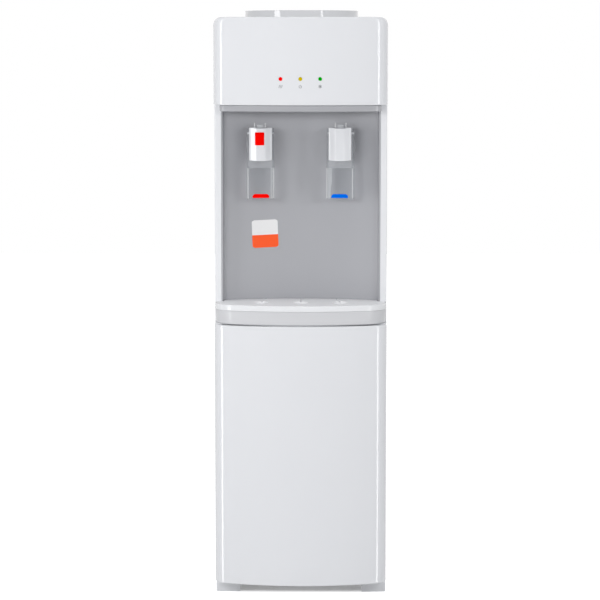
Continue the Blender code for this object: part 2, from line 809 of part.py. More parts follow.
def smooth_route(points, steps=HOSE_STEPS):
    """Catmull-Rom curve through the route's own points, with its first and last spans straight."""
    route = [Vector(point) for point in points]
    result = [route[0]]
    for a, b, c, d in zip(route, route[1:], route[2:], route[3:]):
        for i in range(steps):
            t = i / steps
            bend = (a * 2 - b * 5 + c * 4 - d) * t**2 + (b * 3 - a - c * 3 + d) * t**3
            result.append((b * 2 + (c - a) * t + bend) / 2)
    result += [route[-2], route[-1]]
    return result


def build_base_pan():
    """Moulded base: a pan on four corner feet, with a tab and pin that carry the door."""
    outline = rounded(
        [
            (HALF_WIDTH, CASE_FRONT_Y),
            (HALF_WIDTH, CASE_REAR_Y),
            (-HALF_WIDTH, CASE_REAR_Y),
            (-HALF_WIDTH, CASE_FRONT_Y),
        ],
        BASE_CORNER_RADIUS,
    )
    pan = prism("base_pan", outline, 0, BASE_HEIGHT, PAINT_WHITE)
    tunnel_x = HALF_WIDTH - FOOT_WIDTH
    fore_aft = box(
        "base_tunnel_fore_aft",
        (-tunnel_x, CASE_FRONT_Y - OVERRUN, -OVERRUN),
        (tunnel_x, CASE_REAR_Y + OVERRUN, FOOT_TUNNEL_HEIGHT),
    )
    across = box(
        "base_tunnel_across",
        (-HALF_WIDTH - OVERRUN, CASE_FRONT_Y + FOOT_LENGTH, -OVERRUN),
        (HALF_WIDTH + OVERRUN, CASE_REAR_Y - FOOT_LENGTH, FOOT_TUNNEL_HEIGHT),
    )
    tab_right = HINGE_X + HINGE_INSET_X - BASE_CORNER_RADIUS
    tab = prism(
        "base_hinge_tab",
        rounded(
            [
                (tab_right, CASE_FRONT_Y + OVERRUN),
                (tab_right - HINGE_TAB_WIDTH, CASE_FRONT_Y + OVERRUN),
                (tab_right - HINGE_TAB_WIDTH, HINGE_Y - HINGE_TAB_NOSE),
                (tab_right, HINGE_Y - HINGE_TAB_NOSE),
            ],
            [0, 0, BASE_CORNER_RADIUS, BASE_CORNER_RADIUS],
        ),
        BASE_HEIGHT - HINGE_TAB_THICKNESS,
        BASE_HEIGHT,
    )
    pin = rod(
        "base_hinge_pin",
        HINGE_PIN_RADIUS,
        (HINGE_X, HINGE_Y, BASE_HEIGHT - HINGE_TAB_THICKNESS / 2),
        (HINGE_X, HINGE_Y, DOOR_BOTTOM + HINGE_PIN_REACH),
    )
    cut(pan, fore_aft, across)
    join(pan, tab, pin)


def build_side_panels():
    """Two sheet-steel sides, each folded round the flat front of the case."""
    fold = EDGE_RADIUS
    outline = rounded(
        [
            (FLANGE_EDGE_X, CASE_FRONT_Y),
            (HALF_WIDTH, CASE_FRONT_Y),
            (HALF_WIDTH, CASE_REAR_Y),
            (HALF_WIDTH - SHEET, CASE_REAR_Y),
            (HALF_WIDTH - SHEET, CASE_FRONT_Y + SHEET),
            (FLANGE_EDGE_X, CASE_FRONT_Y + SHEET),
        ],
        [0, fold, 0, 0, fold - SHEET, 0],
    )
    low = BASE_HEIGHT + FIT
    prism("right_side_panel", outline, low, CASE_TOP, PAINT_WHITE)
    prism("left_side_panel", mirrored_x(outline), low, CASE_TOP, PAINT_WHITE)


def build_back_panel():
    """Sheet-steel back with louvres at the top and cut-outs for the fittings it carries."""
    half = HALF_WIDTH - SHEET - FIT
    panel = box(
        "back_panel",
        (-half, BACK_PANEL_INNER_Y, BAY_OPENING_TOP),
        (half, BACK_PANEL_OUTER_Y, CASE_TOP),
        ZINC_SHEET,
    )
    through_low = BACK_PANEL_INNER_Y - OVERRUN
    through_high = BACK_PANEL_OUTER_Y + OVERRUN
    for i in range(LOUVRE_COUNT):
        slot_top = CASE_TOP - LOUVRE_TOP_DROP - i * LOUVRE_PITCH
        slot = box(
            f"louvre_slot_{i + 1}",
            (LOUVRE_START, through_low, slot_top - LOUVRE_HEIGHT),
            (HALF_WIDTH - LOUVRE_SIDE_INSET, through_high, slot_top),
        )
        cut(panel, slot)
    for x in switch_places():
        opening = box(
            "switch_opening",
            (x - SWITCH_HALF_WIDTH - FIT, through_low, SWITCH_HEIGHT - SWITCH_HALF_HEIGHT - FIT),
            (x + SWITCH_HALF_WIDTH + FIT, through_high, SWITCH_HEIGHT + SWITCH_HALF_HEIGHT + FIT),
        )
        cut(panel, opening)
    inlet = box(
        "inlet_opening",
        (
            INLET_X - INLET_HALF_WIDTH - FIT,
            through_low,
            FITTING_HEIGHT - INLET_HALF_HEIGHT - FIT,
        ),
        (
            INLET_X + INLET_HALF_WIDTH + FIT,
            through_high,
            FITTING_HEIGHT + INLET_HALF_HEIGHT + FIT,
        ),
    )
    drain = rod(
        "drain_opening",
        DRAIN_PIPE_RADIUS + FIT,
        (DRAIN_PIPE_X, through_low, FITTING_HEIGHT),
        (DRAIN_PIPE_X, through_high, FITTING_HEIGHT),
    )
    cut(panel, inlet, drain)


def build_head():
    """Bowed head moulding with its lamp holes and the posts for the lamp board."""
    head = bowed_shell("head_fascia", HEAD_BOTTOM, HEAD_TOP, MODULE_BACK_Y, GLOSS_WHITE, SHOULDER_RADIUS)
    board_front = lamp_front_y(LAMP_PITCH) + LAMP_LENGTH
    for side in (-1, 1):
        x = side * BOARD_POST_OFFSET
        post = rod(
            "board_post",
            BOARD_POST_RADIUS,
            (x, bow_y(x) + WALL / 2, LAMP_HEIGHT),
            (x, board_front, LAMP_HEIGHT),
        )
        join(head, post)
    for x in (-LAMP_PITCH, 0, LAMP_PITCH):
        hole = rod(
            "lamp_hole",
            LAMP_RADIUS + FIT,
            (x, FRONT_Y - OVERRUN, LAMP_HEIGHT),
            (x, board_front, LAMP_HEIGHT),
        )
        cut(head, hole)


def lamp_front_y(x):
    """Depth of a lamp's lens face, just proud of the bowed head but never ahead of its middle."""
    return max(bow_y(x) - LAMP_PROUD, FRONT_Y)


def build_lamps():
    """Three indicator lenses and the circuit board behind them."""
    board_front = lamp_front_y(LAMP_PITCH) + LAMP_LENGTH
    lamps = (("hot_lamp", -LAMP_PITCH, RED), ("power_lamp", 0, YELLOW), ("cold_lamp", LAMP_PITCH, GREEN))
    for name, x, finish in lamps:
        rod(name, LAMP_RADIUS, (x, lamp_front_y(x), LAMP_HEIGHT), (x, board_front, LAMP_HEIGHT), finish)
    box(
        "lamp_board",
        (-BOARD_WIDTH / 2, board_front + FIT, LAMP_HEIGHT - BOARD_HEIGHT / 2),
        (BOARD_WIDTH / 2, board_front + FIT + BOARD_THICKNESS, LAMP_HEIGHT + BOARD_HEIGHT / 2),
        BOARD_GREEN,
    )


def lid_outline(inset, overrun):
    """Front view of the top cover: straight sides with round shoulders."""
    half = HALF_WIDTH - inset
    top = HEAD_TOP - inset
    shoulder = SHOULDER_RADIUS - inset
    low = LID_BOTTOM - overrun
    points = [(half, low), (half, top), (-half, top), (-half, low)]
    return rounded(points, [0, shoulder, shoulder, 0], SHOULDER_STEPS)


def build_top_cover():
    """Moulded lid over the steel case, with the round hole that the bottle collar hangs in."""
    front = CASE_FRONT_Y + FIT
    lid = prism("top_cover", lid_outline(0, 0), front, CASE_REAR_Y, GLOSS_WHITE, along="Y")
    inner = lid_outline(LID_WALL, OVERRUN)
    hollow = prism("top_cover_hollow", inner, front + LID_WALL, CASE_REAR_Y - LID_WALL, along="Y")
    hole = rod(
        "collar_hole",
        COLLAR_HOLE_RADIUS,
        (0, COLLAR_CENTRE_Y, LID_BOTTOM - OVERRUN),
        (0, COLLAR_CENTRE_Y, HEAD_TOP + OVERRUN),
        steps=ROUND_STEPS,
    )
    cut(lid, hollow, hole)


def build_recess_panel():
    """Concave grey panel with side walls and a flat boss for each tap."""
    inner = bowed_edge(RECESS_HALF_WIDTH, -RECESS_BACK_Y, -CASE_FRONT_Y, RECESS_RADIUS, RECESS_CORNER)
    outer = bowed_edge(
        RECESS_HALF_WIDTH + RECESS_WALL,
        -RECESS_BACK_Y - RECESS_WALL,
        -CASE_FRONT_Y,
        RECESS_RADIUS + RECESS_WALL,
        RECESS_CORNER + RECESS_WALL,
    )
    outline = mirrored_y(inner) + list(reversed(mirrored_y(outer)))
    panel = prism("recess_panel", outline, DECK_TOP + FIT, HEAD_BOTTOM - FIT, SATIN_GREY)
    for x in tap_places().values():
        turn = tap_turn(x)
        front = Vector((x, BOSS_FRONT_Y, SHANK_HEIGHT))
        rear = Vector((x, BOSS_REAR_Y, SHANK_HEIGHT))
        overrun = Vector((0, OVERRUN, 0))
        boss = rod("tap_boss", TAP_BOSS_RADIUS, turn @ front, turn @ rear)
        bore = rod("tap_boss_bore", SHANK_RADIUS + FIT, turn @ (front - overrun), turn @ (rear + overrun))
        join(panel, boss)
        cut(panel, bore)


def build_recess_hood():
    """Grey band under the head that closes the top of the recess, open above."""
    low = HOOD_BOTTOM
    high = HEAD_BOTTOM - FIT
    sections = []
    for level in level_list(low, high, EDGE_RADIUS / 2, [EDGE_RADIUS / 2]):
        inset = max(end_inset(level - low, EDGE_RADIUS / 2), end_inset(high - level, EDGE_RADIUS / 2))
        outline = station_outline(HOOD_HALF_WIDTH, FRONT_Y + HOOD_SETBACK, HOOD_CORNER, inset, FIT)
        sections.append((outline, level))
    hood = loft("recess_hood", sections, SATIN_GREY)
    pocket = prism(
        "recess_hood_pocket",
        bowed_edge(
            RECESS_HALF_WIDTH - WALL - FIT,
            FRONT_Y + HOOD_SETBACK + WALL,
            CASE_FRONT_Y + WALL,
            front_radius_at(FRONT_Y + HOOD_SETBACK + WALL),
            HOOD_CORNER - WALL,
        ),
        low + WALL,
        high + OVERRUN,
    )
    cut(hood, pocket)


def build_collar():
    """Bottle collar: a rim on the lid, a funnel for the bottle's shoulder and a neck into the tank."""
    rim_top = HEAD_TOP + COLLAR_RISE
    rim_bottom = HEAD_TOP + FIT
    funnel_outer = COLLAR_HOLE_RADIUS - FIT * 4
    profile = [
        (COLLAR_RADIUS - COLLAR_RIM, rim_top),
        (COLLAR_RADIUS - COLLAR_RIM * COLLAR_RIM_SHARE, rim_top - COLLAR_RIM * COLLAR_RIM_SHARE),
        (COLLAR_RADIUS, rim_top - COLLAR_RIM),
        (COLLAR_RADIUS, rim_bottom),
        (funnel_outer, rim_bottom),
        (funnel_outer, rim_bottom - COLLAR_RISE),
        (COLLAR_NECK_RADIUS + COLLAR_WALL, COLLAR_NECK_TOP - COLLAR_WALL),
        (COLLAR_NECK_RADIUS + COLLAR_WALL, COLLAR_NECK_BOTTOM),
        (COLLAR_NECK_RADIUS, COLLAR_NECK_BOTTOM),
        (COLLAR_NECK_RADIUS, COLLAR_NECK_TOP),
        (funnel_outer - COLLAR_WALL, rim_bottom - COLLAR_RISE + COLLAR_WALL),
        (COLLAR_MOUTH_RADIUS, rim_top),
    ]
    turned("bottle_collar", profile, (0, COLLAR_CENTRE_Y, 0), COLLAR_GREY, ROUND_STEPS, closed=True)


def build_probe():
    """Spike that opens the bottle's plug, on three spokes that sit on a ring in the collar's neck."""
    ring_outer = COLLAR_NECK_RADIUS - FIT
    ring_inner = ring_outer - COLLAR_WALL
    ring_top = PROBE_FOOT_HEIGHT + PROBE_SPOKE_HEIGHT
    profile = [
        (PROBE_BORE, PROBE_TOP),
        (PROBE_RADIUS * PROBE_TIP_SHARE, PROBE_TOP),
        (PROBE_RADIUS, PROBE_TOP - PROBE_RADIUS),
        (PROBE_RADIUS, PROBE_FOOT_HEIGHT),
        (PROBE_BORE, PROBE_FOOT_HEIGHT),
    ]
    centre = (0, COLLAR_CENTRE_Y, 0)
    probe = turned("bottle_probe", profile, centre, GLOSS_WHITE, SMALL_ROUND_STEPS, closed=True)
    ring = turned(
        "probe_ring",
        [
            (ring_inner, ring_top),
            (ring_outer, ring_top),
            (ring_outer, PROBE_FOOT_HEIGHT),
            (ring_inner, PROBE_FOOT_HEIGHT),
        ],
        centre,
        None,
        SMALL_ROUND_STEPS,
        closed=True,
    )
    join(probe, ring)
    inner = (PROBE_BORE + PROBE_RADIUS) / 2
    outer = (ring_inner + ring_outer) / 2
    for i in range(PROBE_SPOKES):
        spoke = box(
            "probe_spoke",
            (inner, -PROBE_SPOKE_WIDTH / 2, -PROBE_SPOKE_HEIGHT / 2),
            (outer, PROBE_SPOKE_WIDTH / 2, PROBE_SPOKE_HEIGHT / 2),
        )
        turn = Matrix.Rotation(math.tau * i / PROBE_SPOKES, 4, "Z")
        middle = Matrix.Translation((0, COLLAR_CENTRE_Y, PROBE_FOOT_HEIGHT + PROBE_SPOKE_HEIGHT / 2))
        spoke.matrix_world = middle @ turn @ spoke.matrix_world
        join(probe, spoke)


def build_cold_tank():
    """Stainless cold tank in foam, with the evaporator coil wound round it and a lid on top."""
    centre = (0, COLLAR_CENTRE_Y, 0)
    inner = COLD_TANK_RADIUS - COLD_TANK_WALL
    turned(
        "cold_tank",
        [
            (COLD_TANK_RADIUS, COLD_TANK_TOP),
            (COLD_TANK_RADIUS, COLD_TANK_BOTTOM),
            (0, COLD_TANK_BOTTOM),
            (0, COLD_TANK_BOTTOM + COLD_TANK_WALL),
            (inner, COLD_TANK_BOTTOM + COLD_TANK_WALL),
            (inner, COLD_TANK_TOP),
        ],
        centre,
        STEEL,
        ROUND_STEPS,
        closed=True,
    )
    coil_radius = (COLD_TANK_RADIUS + FIT + COIL_TUBE_RADIUS) / math.cos(math.pi / COIL_POINTS)
    count = COIL_TURNS * COIL_POINTS
    coil = [
        (
            coil_radius * math.cos(math.tau * i / COIL_POINTS),
            COLLAR_CENTRE_Y + coil_radius * math.sin(math.tau * i / COIL_POINTS),
            COIL_BOTTOM + COIL_PITCH * i / COIL_POINTS,
        )
        for i in range(count + 1)
    ]
    tube("evaporator_coil", coil, COIL_TUBE_RADIUS, COPPER)
    print("evaporator coil gap to itself, mm:", round((COIL_PITCH - 2 * COIL_TUBE_RADIUS) * 1000, 3))
    hollow = coil_radius + COIL_TUBE_RADIUS + FIT * 2
    low = COLD_TANK_BOTTOM - FIT - INSULATION_FLOOR
    lid_top = COLD_TANK_TOP + FIT + TANK_LID_THICKNESS
    turned(
        "tank_insulation",
        [
            (INSULATION_RADIUS, COLD_TANK_TOP),
            (INSULATION_RADIUS, low),
            (0, low),
            (0, COLD_TANK_BOTTOM - FIT),
            (hollow, COLD_TANK_BOTTOM - FIT),
            (hollow, COLD_TANK_TOP),
        ],
        centre,
        FOAM,
        ROUND_STEPS,
        closed=True,
    )
    lid_hole = COLLAR_NECK_RADIUS + COLLAR_WALL + FIT
    turned(
        "tank_lid",
        [
            (lid_hole, lid_top),
            (INSULATION_RADIUS, lid_top),
            (INSULATION_RADIUS, COLD_TANK_TOP + FIT),
            (lid_hole, COLD_TANK_TOP + FIT),
        ],
        centre,
        GLOSS_WHITE,
        ROUND_STEPS,
        closed=True,
    )
    front_y = COLLAR_CENTRE_Y - INSULATION_RADIUS / 2
    shelf_bracket("cold_tank_bracket", low - FIT, front_y, COLD_BRACKET_HALF_WIDTH)


def shelf_bracket(name, top, front_y, half_width):
    """Folded steel shelf that hangs on the back panel."""
    rear = BACK_PANEL_INNER_Y - FIT
    outline = rounded(
        [
            (front_y, top),
            (front_y, top - BRACKET_SHEET),
            (rear, top - BRACKET_SHEET),
            (rear, top + BRACKET_FLANGE),
            (rear - BRACKET_SHEET, top + BRACKET_FLANGE),
            (rear - BRACKET_SHEET, top),
        ],
        [0, 0, BRACKET_SHEET, 0, 0, 0],
    )
    prism(name, outline, -half_width, half_width, ZINC_SHEET, along="X")


def build_hot_tank():
    """Stainless hot tank on its bracket, with a band heater and a clip-on thermostat."""
    centre = (0, HOT_TANK_Y, 0)
    dome = HOT_TANK_DOME
    dome_break = dome * DOME_BREAK_SHARE
    foot = dome * DOME_FOOT_SHARE
    turned(
        "hot_tank",
        [
            (0, HOT_TANK_TOP),
            (HOT_TANK_RADIUS - dome, HOT_TANK_TOP),
            (HOT_TANK_RADIUS - dome_break, HOT_TANK_TOP - dome_break),
            (HOT_TANK_RADIUS, HOT_TANK_TOP - dome),
            (HOT_TANK_RADIUS, HOT_TANK_BOTTOM + foot),
            (HOT_TANK_RADIUS - foot, HOT_TANK_BOTTOM),
            (0, HOT_TANK_BOTTOM),
        ],
        centre,
        STEEL,
    )
    band_low = HOT_TANK_BOTTOM + HEATER_RISE
    band_inner = HOT_TANK_RADIUS + FIT
    turned(
        "band_heater",
        [
            (band_inner, band_low + HEATER_HEIGHT),
            (band_inner + HEATER_THICKNESS, band_low + HEATER_HEIGHT),
            (band_inner + HEATER_THICKNESS, band_low),
            (band_inner, band_low),
        ],
        centre,
        STEEL,
        closed=True,
    )
    height = HOT_TANK_TOP - THERMOSTAT_DROP
    face = HOT_TANK_Y - HOT_TANK_RADIUS - FIT
    rod("thermostat", THERMOSTAT_RADIUS, (0, face, height), (0, face - THERMOSTAT_DEPTH, height), BLACK)
    front_y = HOT_TANK_Y - HOT_TANK_RADIUS
    shelf_bracket("hot_tank_bracket", HOT_TANK_BOTTOM - FIT, front_y, HOT_BRACKET_HALF_WIDTH)


def tap_places():
    """Sideways place of each tap's barrel, by name."""
    return {"hot": -TAP_SPACING / 2, "cold": TAP_SPACING / 2}


def tap_turn(x):
    """Turn about a tap's barrel that faces the tap a little towards the middle."""
    about = Matrix.Translation((x, BARREL_Y, 0))
    return about @ Matrix.Rotation(-math.copysign(TAP_TURN, x), 4, "Z") @ about.inverted()


def build_tap_body(side, x):
    """Tap body: barrel with the spout, flange and shank behind, lug and cross pin in front."""
    spout = (x, BARREL_Y, SPOUT_HEIGHT)
    body = rod(f"{side}_tap_body", BARREL_RADIUS, spout, (x, BARREL_Y, BARREL_TOP), GLOSS_WHITE)
    flange_rear = BOSS_FRONT_Y - FIT
    shank_end = BOSS_REAR_Y + SHANK_TAIL
    shank = rod("tap_shank", SHANK_RADIUS, (x, BARREL_Y, SHANK_HEIGHT), (x, shank_end, SHANK_HEIGHT))
    flange = rod(
        "tap_flange",
        TAP_FLANGE_RADIUS,
        (x, flange_rear - TAP_FLANGE_THICKNESS, SHANK_HEIGHT),
        (x, flange_rear, SHANK_HEIGHT),
    )
    bore = rod(
        "tap_bore", BARREL_BORE, (x, BARREL_Y, SPOUT_HEIGHT - OVERRUN), (x, BARREL_Y, BARREL_TOP + OVERRUN)
    )
    water_way = rod(
        "shank_bore", SHANK_BORE, (x, BARREL_Y, SHANK_HEIGHT), (x, shank_end + OVERRUN, SHANK_HEIGHT)
    )
    lug_foot = box(
        "tap_lug_foot",
        (x - LUG_HALF_WIDTH, PIVOT_Y - LUG_HALF_DEPTH, LUG_BOTTOM),
        (x + LUG_HALF_WIDTH, BARREL_Y, BARREL_TOP - FIT),
    )
    lug = box(
        "tap_lug",
        (x - LUG_HALF_WIDTH, PIVOT_Y - LUG_HALF_DEPTH, LUG_BOTTOM),
        (x + LUG_HALF_WIDTH, PIVOT_Y + LUG_HALF_DEPTH, PIVOT_HEIGHT + LUG_HALF_WIDTH),
    )
    reach = LEVER_HALF_WIDTH - FIT
    pin = rod("tap_pin", PIVOT_RADIUS, (x - reach, PIVOT_Y, PIVOT_HEIGHT), (x + reach, PIVOT_Y, PIVOT_HEIGHT))
    join(body, shank, flange, lug_foot, lug, pin)
    cut(body, bore, water_way)


def build_tap_nut(side, x):
    """Hexagon nut that pulls the tap against the recess panel."""
    front = BOSS_REAR_Y + FIT
    nut = rod(
        f"{side}_tap_nut",
        NUT_RADIUS,
        (x, front, SHANK_HEIGHT),
        (x, front + NUT_THICKNESS, SHANK_HEIGHT),
        GLOSS_WHITE,
        steps=NUT_SIDES,
    )
    hole = rod(
        "nut_hole",
        SHANK_RADIUS + FIT,
        (x, front - OVERRUN, SHANK_HEIGHT),
        (x, front + NUT_THICKNESS + OVERRUN, SHANK_HEIGHT),
    )
    cut(nut, hole)


def build_plunger(side, x):
    """Valve plunger: a stem in the barrel, hung from a bar that the cap's ribs lift."""
    bar_low = BARREL_TOP + FIT
    plunger = rod(
        f"{side}_valve_plunger",
        BARREL_BORE - PLUNGER_CLEARANCE,
        (x, BARREL_Y, bar_low - PLUNGER_DEPTH),
        (x, BARREL_Y, bar_low + PLUNGER_BAR_HEIGHT / 2),
        HOSE_CLEAR,
    )
    bar = box(
        "plunger_bar",
        (x - PLUNGER_BAR_HALF_LENGTH, BARREL_Y - PLUNGER_BAR_HALF_WIDTH, bar_low),
        (x + PLUNGER_BAR_HALF_LENGTH, BARREL_Y + PLUNGER_BAR_HALF_WIDTH, bar_low + PLUNGER_BAR_HEIGHT),
    )
    join(plunger, bar)


def cap_outline(inset):
    """Plan of a tap's cap: bowed front, straight sides, open behind."""
    front_y = CAP_FRONT_Y + inset
    back_y = CAP_FRONT_Y + CAP_DEPTH + (OVERRUN if inset else 0)
    half = CAP_HALF_WIDTH - inset
    return bowed_edge(half, front_y, back_y, CAP_FRONT_RADIUS - inset, CAP_CORNER - inset, CAP_STEPS)


def build_tap_cap(side, x):
    """White cap that swings with the lever: two posts on top, two ribs inside to lift the plunger."""
    name = f"{side}_tap_cap"
    cap = prism(name, [(x + u, v) for u, v in cap_outline(0)], CAP_BOTTOM, CAP_TOP, GLOSS_WHITE)
    hollow = prism(
        name + "_hollow",
        [(x + u, v) for u, v in cap_outline(CAP_WALL)],
        CAP_BOTTOM - OVERRUN,
        CAP_TOP - CAP_WALL,
    )
    move_origin(cap, (x, PIVOT_Y, PIVOT_HEIGHT))
    cut(cap, hollow)
    post_y = CAP_FRONT_Y + POST_SETBACK
    lifter_top = BARREL_TOP
    washer_reach = LEVER_HALF_WIDTH - LEVER_WALL - FIT
    for sign in (-1, 1):
        post_x = x + sign * POST_OFFSET
        post_foot = (post_x, post_y, CAP_TOP - CAP_WALL / 2)
        post_tip = (post_x, post_y, CAP_TOP + POST_RISE)
        post = rod("cap_post", POST_RADIUS, post_foot, post_tip, steps=POST_STEPS)
        near = x + sign * (BARREL_RADIUS + LIFTER_CLEARANCE)
        far = x + sign * (CAP_HALF_WIDTH - CAP_WALL / 2)
        lifter = box(
            "cap_lifter",
            (min(near, far), BARREL_Y - LIFTER_HALF_WIDTH, lifter_top - LIFTER_HEIGHT),
            (max(near, far), BARREL_Y + LIFTER_HALF_WIDTH, lifter_top),
        )
        washer = rod(
            "cap_washer",
            CAP_WASHER_RADIUS,
            (x + sign * (CAP_HALF_WIDTH - CAP_WALL / 2), PIVOT_Y, PIVOT_HEIGHT),
            (x + sign * washer_reach, PIVOT_Y, PIVOT_HEIGHT),
        )
        join(cap, post, lifter, washer)
    pin_hole = rod(
        "cap_pin_hole",
        PIVOT_RADIUS + FIT,
        (x - LEVER_HALF_WIDTH, PIVOT_Y, PIVOT_HEIGHT),
        (x + LEVER_HALF_WIDTH, PIVOT_Y, PIVOT_HEIGHT),
    )
    cut(cap, pin_hole)
    if side == "hot":
        slot = prism(
            "lock_slot", lock_outline(x, FIT), FRONT_Y, CAP_FRONT_Y + LOCK_LENGTH, along="Y"
        )
        cut(cap, slot)


def lock_outline(x, clearance):
    """Front view of the child-lock button."""
    middle = x - LOCK_OFFSET
    half = LOCK_HALF_WIDTH + clearance
    return rounded(
        [
            (middle + half, LOCK_BOTTOM - clearance),
            (middle + half, LOCK_TOP + clearance),
            (middle - half, LOCK_TOP + clearance),
            (middle - half, LOCK_BOTTOM - clearance),
        ],
        LOCK_CORNER + clearance,
        2,
    )


def build_lock_button(x):
    """Red child-lock button that presses into the hot tap's cap."""
    front = CAP_FRONT_Y - LOCK_PROUD
    button = prism("child_lock_button", lock_outline(x, 0), front, front + LOCK_LENGTH, RED, along="Y")
    move_origin(button, (x - LOCK_OFFSET, front, (LOCK_BOTTOM + LOCK_TOP) / 2))


def lever_profile():
    """Side view of the cup lever: a deep paddle that narrows to an eye round the cap's pin."""
    front = LEVER_FRONT_Y
    throat = front + LEVER_WALL + FIT * 4
    top = PIVOT_HEIGHT + LEVER_TOP_RADIUS
    eye_rear = PIVOT_Y + LEVER_TOP_RADIUS
    points = [
        (front, LEVER_BOTTOM),
        (front, LEVER_FRONT_TOP),
        (throat, LEVER_FRONT_TOP),
        (PIVOT_Y - LEVER_TOP_RADIUS, top),
        (eye_rear, top),
        (eye_rear, PIVOT_HEIGHT - LEVER_TOP_RADIUS),
        (front + LEVER_LOWER_DEPTH + LEVER_CORNER, LEVER_FRONT_TOP),
        (front + LEVER_LOWER_DEPTH, LEVER_BOTTOM),
    ]
    eyes = [LEVER_TOP_RADIUS * share for share in LEVER_EYE_SHARES]
    return rounded(points, [0, 0, 0, *eyes, LEVER_CORNER, LEVER_CORNER, LEVER_CORNER])


def pad_outline(x, clearance):
    """Front view of the coloured pad: a bar with its two upper corners cut off."""
    half = PAD_HALF_WIDTH + clearance
    low = PAD_BOTTOM - clearance
    high = PAD_BOTTOM + PAD_HEIGHT + clearance
    return [
        (x + half, low),
        (x + half, high - PAD_CHAMFER),
        (x + half - PAD_CHAMFER, high),
        (x - half + PAD_CHAMFER, high),
        (x - half, high - PAD_CHAMFER),
        (x - half, low),
    ]


def build_lever(side, x, pad_finish):
    """Clear cup lever, open behind and above, with a coloured pad let into its front."""
    front = LEVER_FRONT_Y
    name = f"{side}_lever"
    lever = prism(name, lever_profile(), x - LEVER_HALF_WIDTH, x + LEVER_HALF_WIDTH, CLEAR, along="X")
    inner = LEVER_HALF_WIDTH - LEVER_WALL
    channel = box(
        name + "_channel",
        (x - inner, front + LEVER_WALL, LEVER_BOTTOM - OVERRUN),
        (x + inner, BOSS_FRONT_Y + OVERRUN, CAP_TOP + OVERRUN),
    )
    eye = rod(
        name + "_eye",
        PIVOT_RADIUS + FIT,
        (x - LEVER_HALF_WIDTH - OVERRUN, PIVOT_Y, PIVOT_HEIGHT),
        (x + LEVER_HALF_WIDTH + OVERRUN, PIVOT_Y, PIVOT_HEIGHT),
    )
    pocket = prism(
        name + "_pad_pocket", pad_outline(x, FIT), front - OVERRUN, front + PAD_THICKNESS + FIT, along="Y"
    )
    move_origin(lever, (x, PIVOT_Y, PIVOT_HEIGHT))
    cut(lever, channel, eye, pocket)
    pad = prism(f"{side}_lever_pad", pad_outline(x, 0), front, front + PAD_THICKNESS, pad_finish, along="Y")
    move_origin(pad, (x, PIVOT_Y, PIVOT_HEIGHT))


def build_taps():
    """Both taps, built facing straight ahead and then turned towards the middle."""
    pads = {"hot": RED, "cold": BLUE}
    for side, x in tap_places().items():
        before = set(bpy.data.objects)
        build_tap_body(side, x)
        build_tap_nut(side, x)
        build_plunger(side, x)
        build_tap_cap(side, x)
        build_lever(side, x, pads[side])
        if side == "hot":
            build_lock_button(x)
        bpy.context.view_layer.update()
        for item in bpy.data.objects:
            if item not in before:
                item.matrix_world = tap_turn(x) @ item.matrix_world


def build_deck():
    """Deck that the drip tray slides on, reaching out over the door and holding its upper pin."""
    front = bowed_edge(
        HALF_WIDTH - DECK_SIDE_INSET,
        FRONT_Y + DECK_FRONT_SETBACK,
        MODULE_BACK_Y,
        front_radius_at(FRONT_Y + DECK_FRONT_SETBACK),
        CORNER_RADIUS,
    )
    inner = FLANGE_EDGE_X - FIT
    rear_y = CASE_FRONT_Y + DECK_REAR_REACH
    outline = [*front, (-inner, MODULE_BACK_Y), (-inner, rear_y), (inner, rear_y), (inner, MODULE_BACK_Y)]
    deck = prism("shelf_deck", outline, DECK_BOTTOM, DECK_TOP, PAINT_WHITE)
    pin = rod(
        "deck_hinge_pin",
        HINGE_PIN_RADIUS,
        (HINGE_X, HINGE_Y, DOOR_TOP - HINGE_PIN_REACH),
        (HINGE_X, HINGE_Y, DECK_BOTTOM + DECK_THICKNESS / 2),
    )
    join(deck, pin)


def tray_section(inset):
    """Plan of the drip tray or its cover, drawn in by an inset at the front."""
    return station_outline(HALF_WIDTH, FRONT_Y, CORNER_RADIUS, inset, TRAY_REAR_CLEARANCE)


def build_tray():
    """Drip tray: a tapered basin with a bowed front."""
    sections = []
    for level in level_list(TRAY_BOTTOM, TRAY_TOP, EDGE_RADIUS, [EDGE_RADIUS / 4]):
        share = (TRAY_TOP - level) / (TRAY_TOP - TRAY_BOTTOM)
        inset = TRAY_RIM_INSET + TRAY_DRAFT * share
        rim_inset = end_inset(TRAY_TOP - level, EDGE_RADIUS / 4)
        inset += max(end_inset(level - TRAY_BOTTOM, EDGE_RADIUS), rim_inset)
        sections.append((tray_section(inset), level))
    tray = loft("drip_tray", sections, GLOSS_WHITE)
    wall = TRAY_WALL + TRAY_DRAFT
    side_x = RECESS_HALF_WIDTH - TRAY_REAR_CLEARANCE - TRAY_WALL
    front_half = bowed_edge(
        side_x, FRONT_Y + wall, MODULE_BACK_Y, front_radius_at(FRONT_Y + wall), CORNER_RADIUS - TRAY_WALL
    )
    rear_half = mirrored_y(
        bowed_edge(
            side_x,
            -(RECESS_BACK_Y - TRAY_REAR_CLEARANCE - TRAY_WALL),
            -MODULE_BACK_Y,
            RECESS_RADIUS - TRAY_REAR_CLEARANCE - TRAY_WALL,
            RECESS_CORNER - TRAY_REAR_CLEARANCE,
        )
    )
    basin_outline = front_half[:-1] + mirrored_x(rear_half)[:-1]
    basin = prism("tray_basin", basin_outline, TRAY_BOTTOM + TRAY_WALL, TRAY_TOP + OVERRUN)
    cut(tray, basin)
    move_origin(tray, (0, MODULE_BACK_Y, TRAY_BOTTOM))


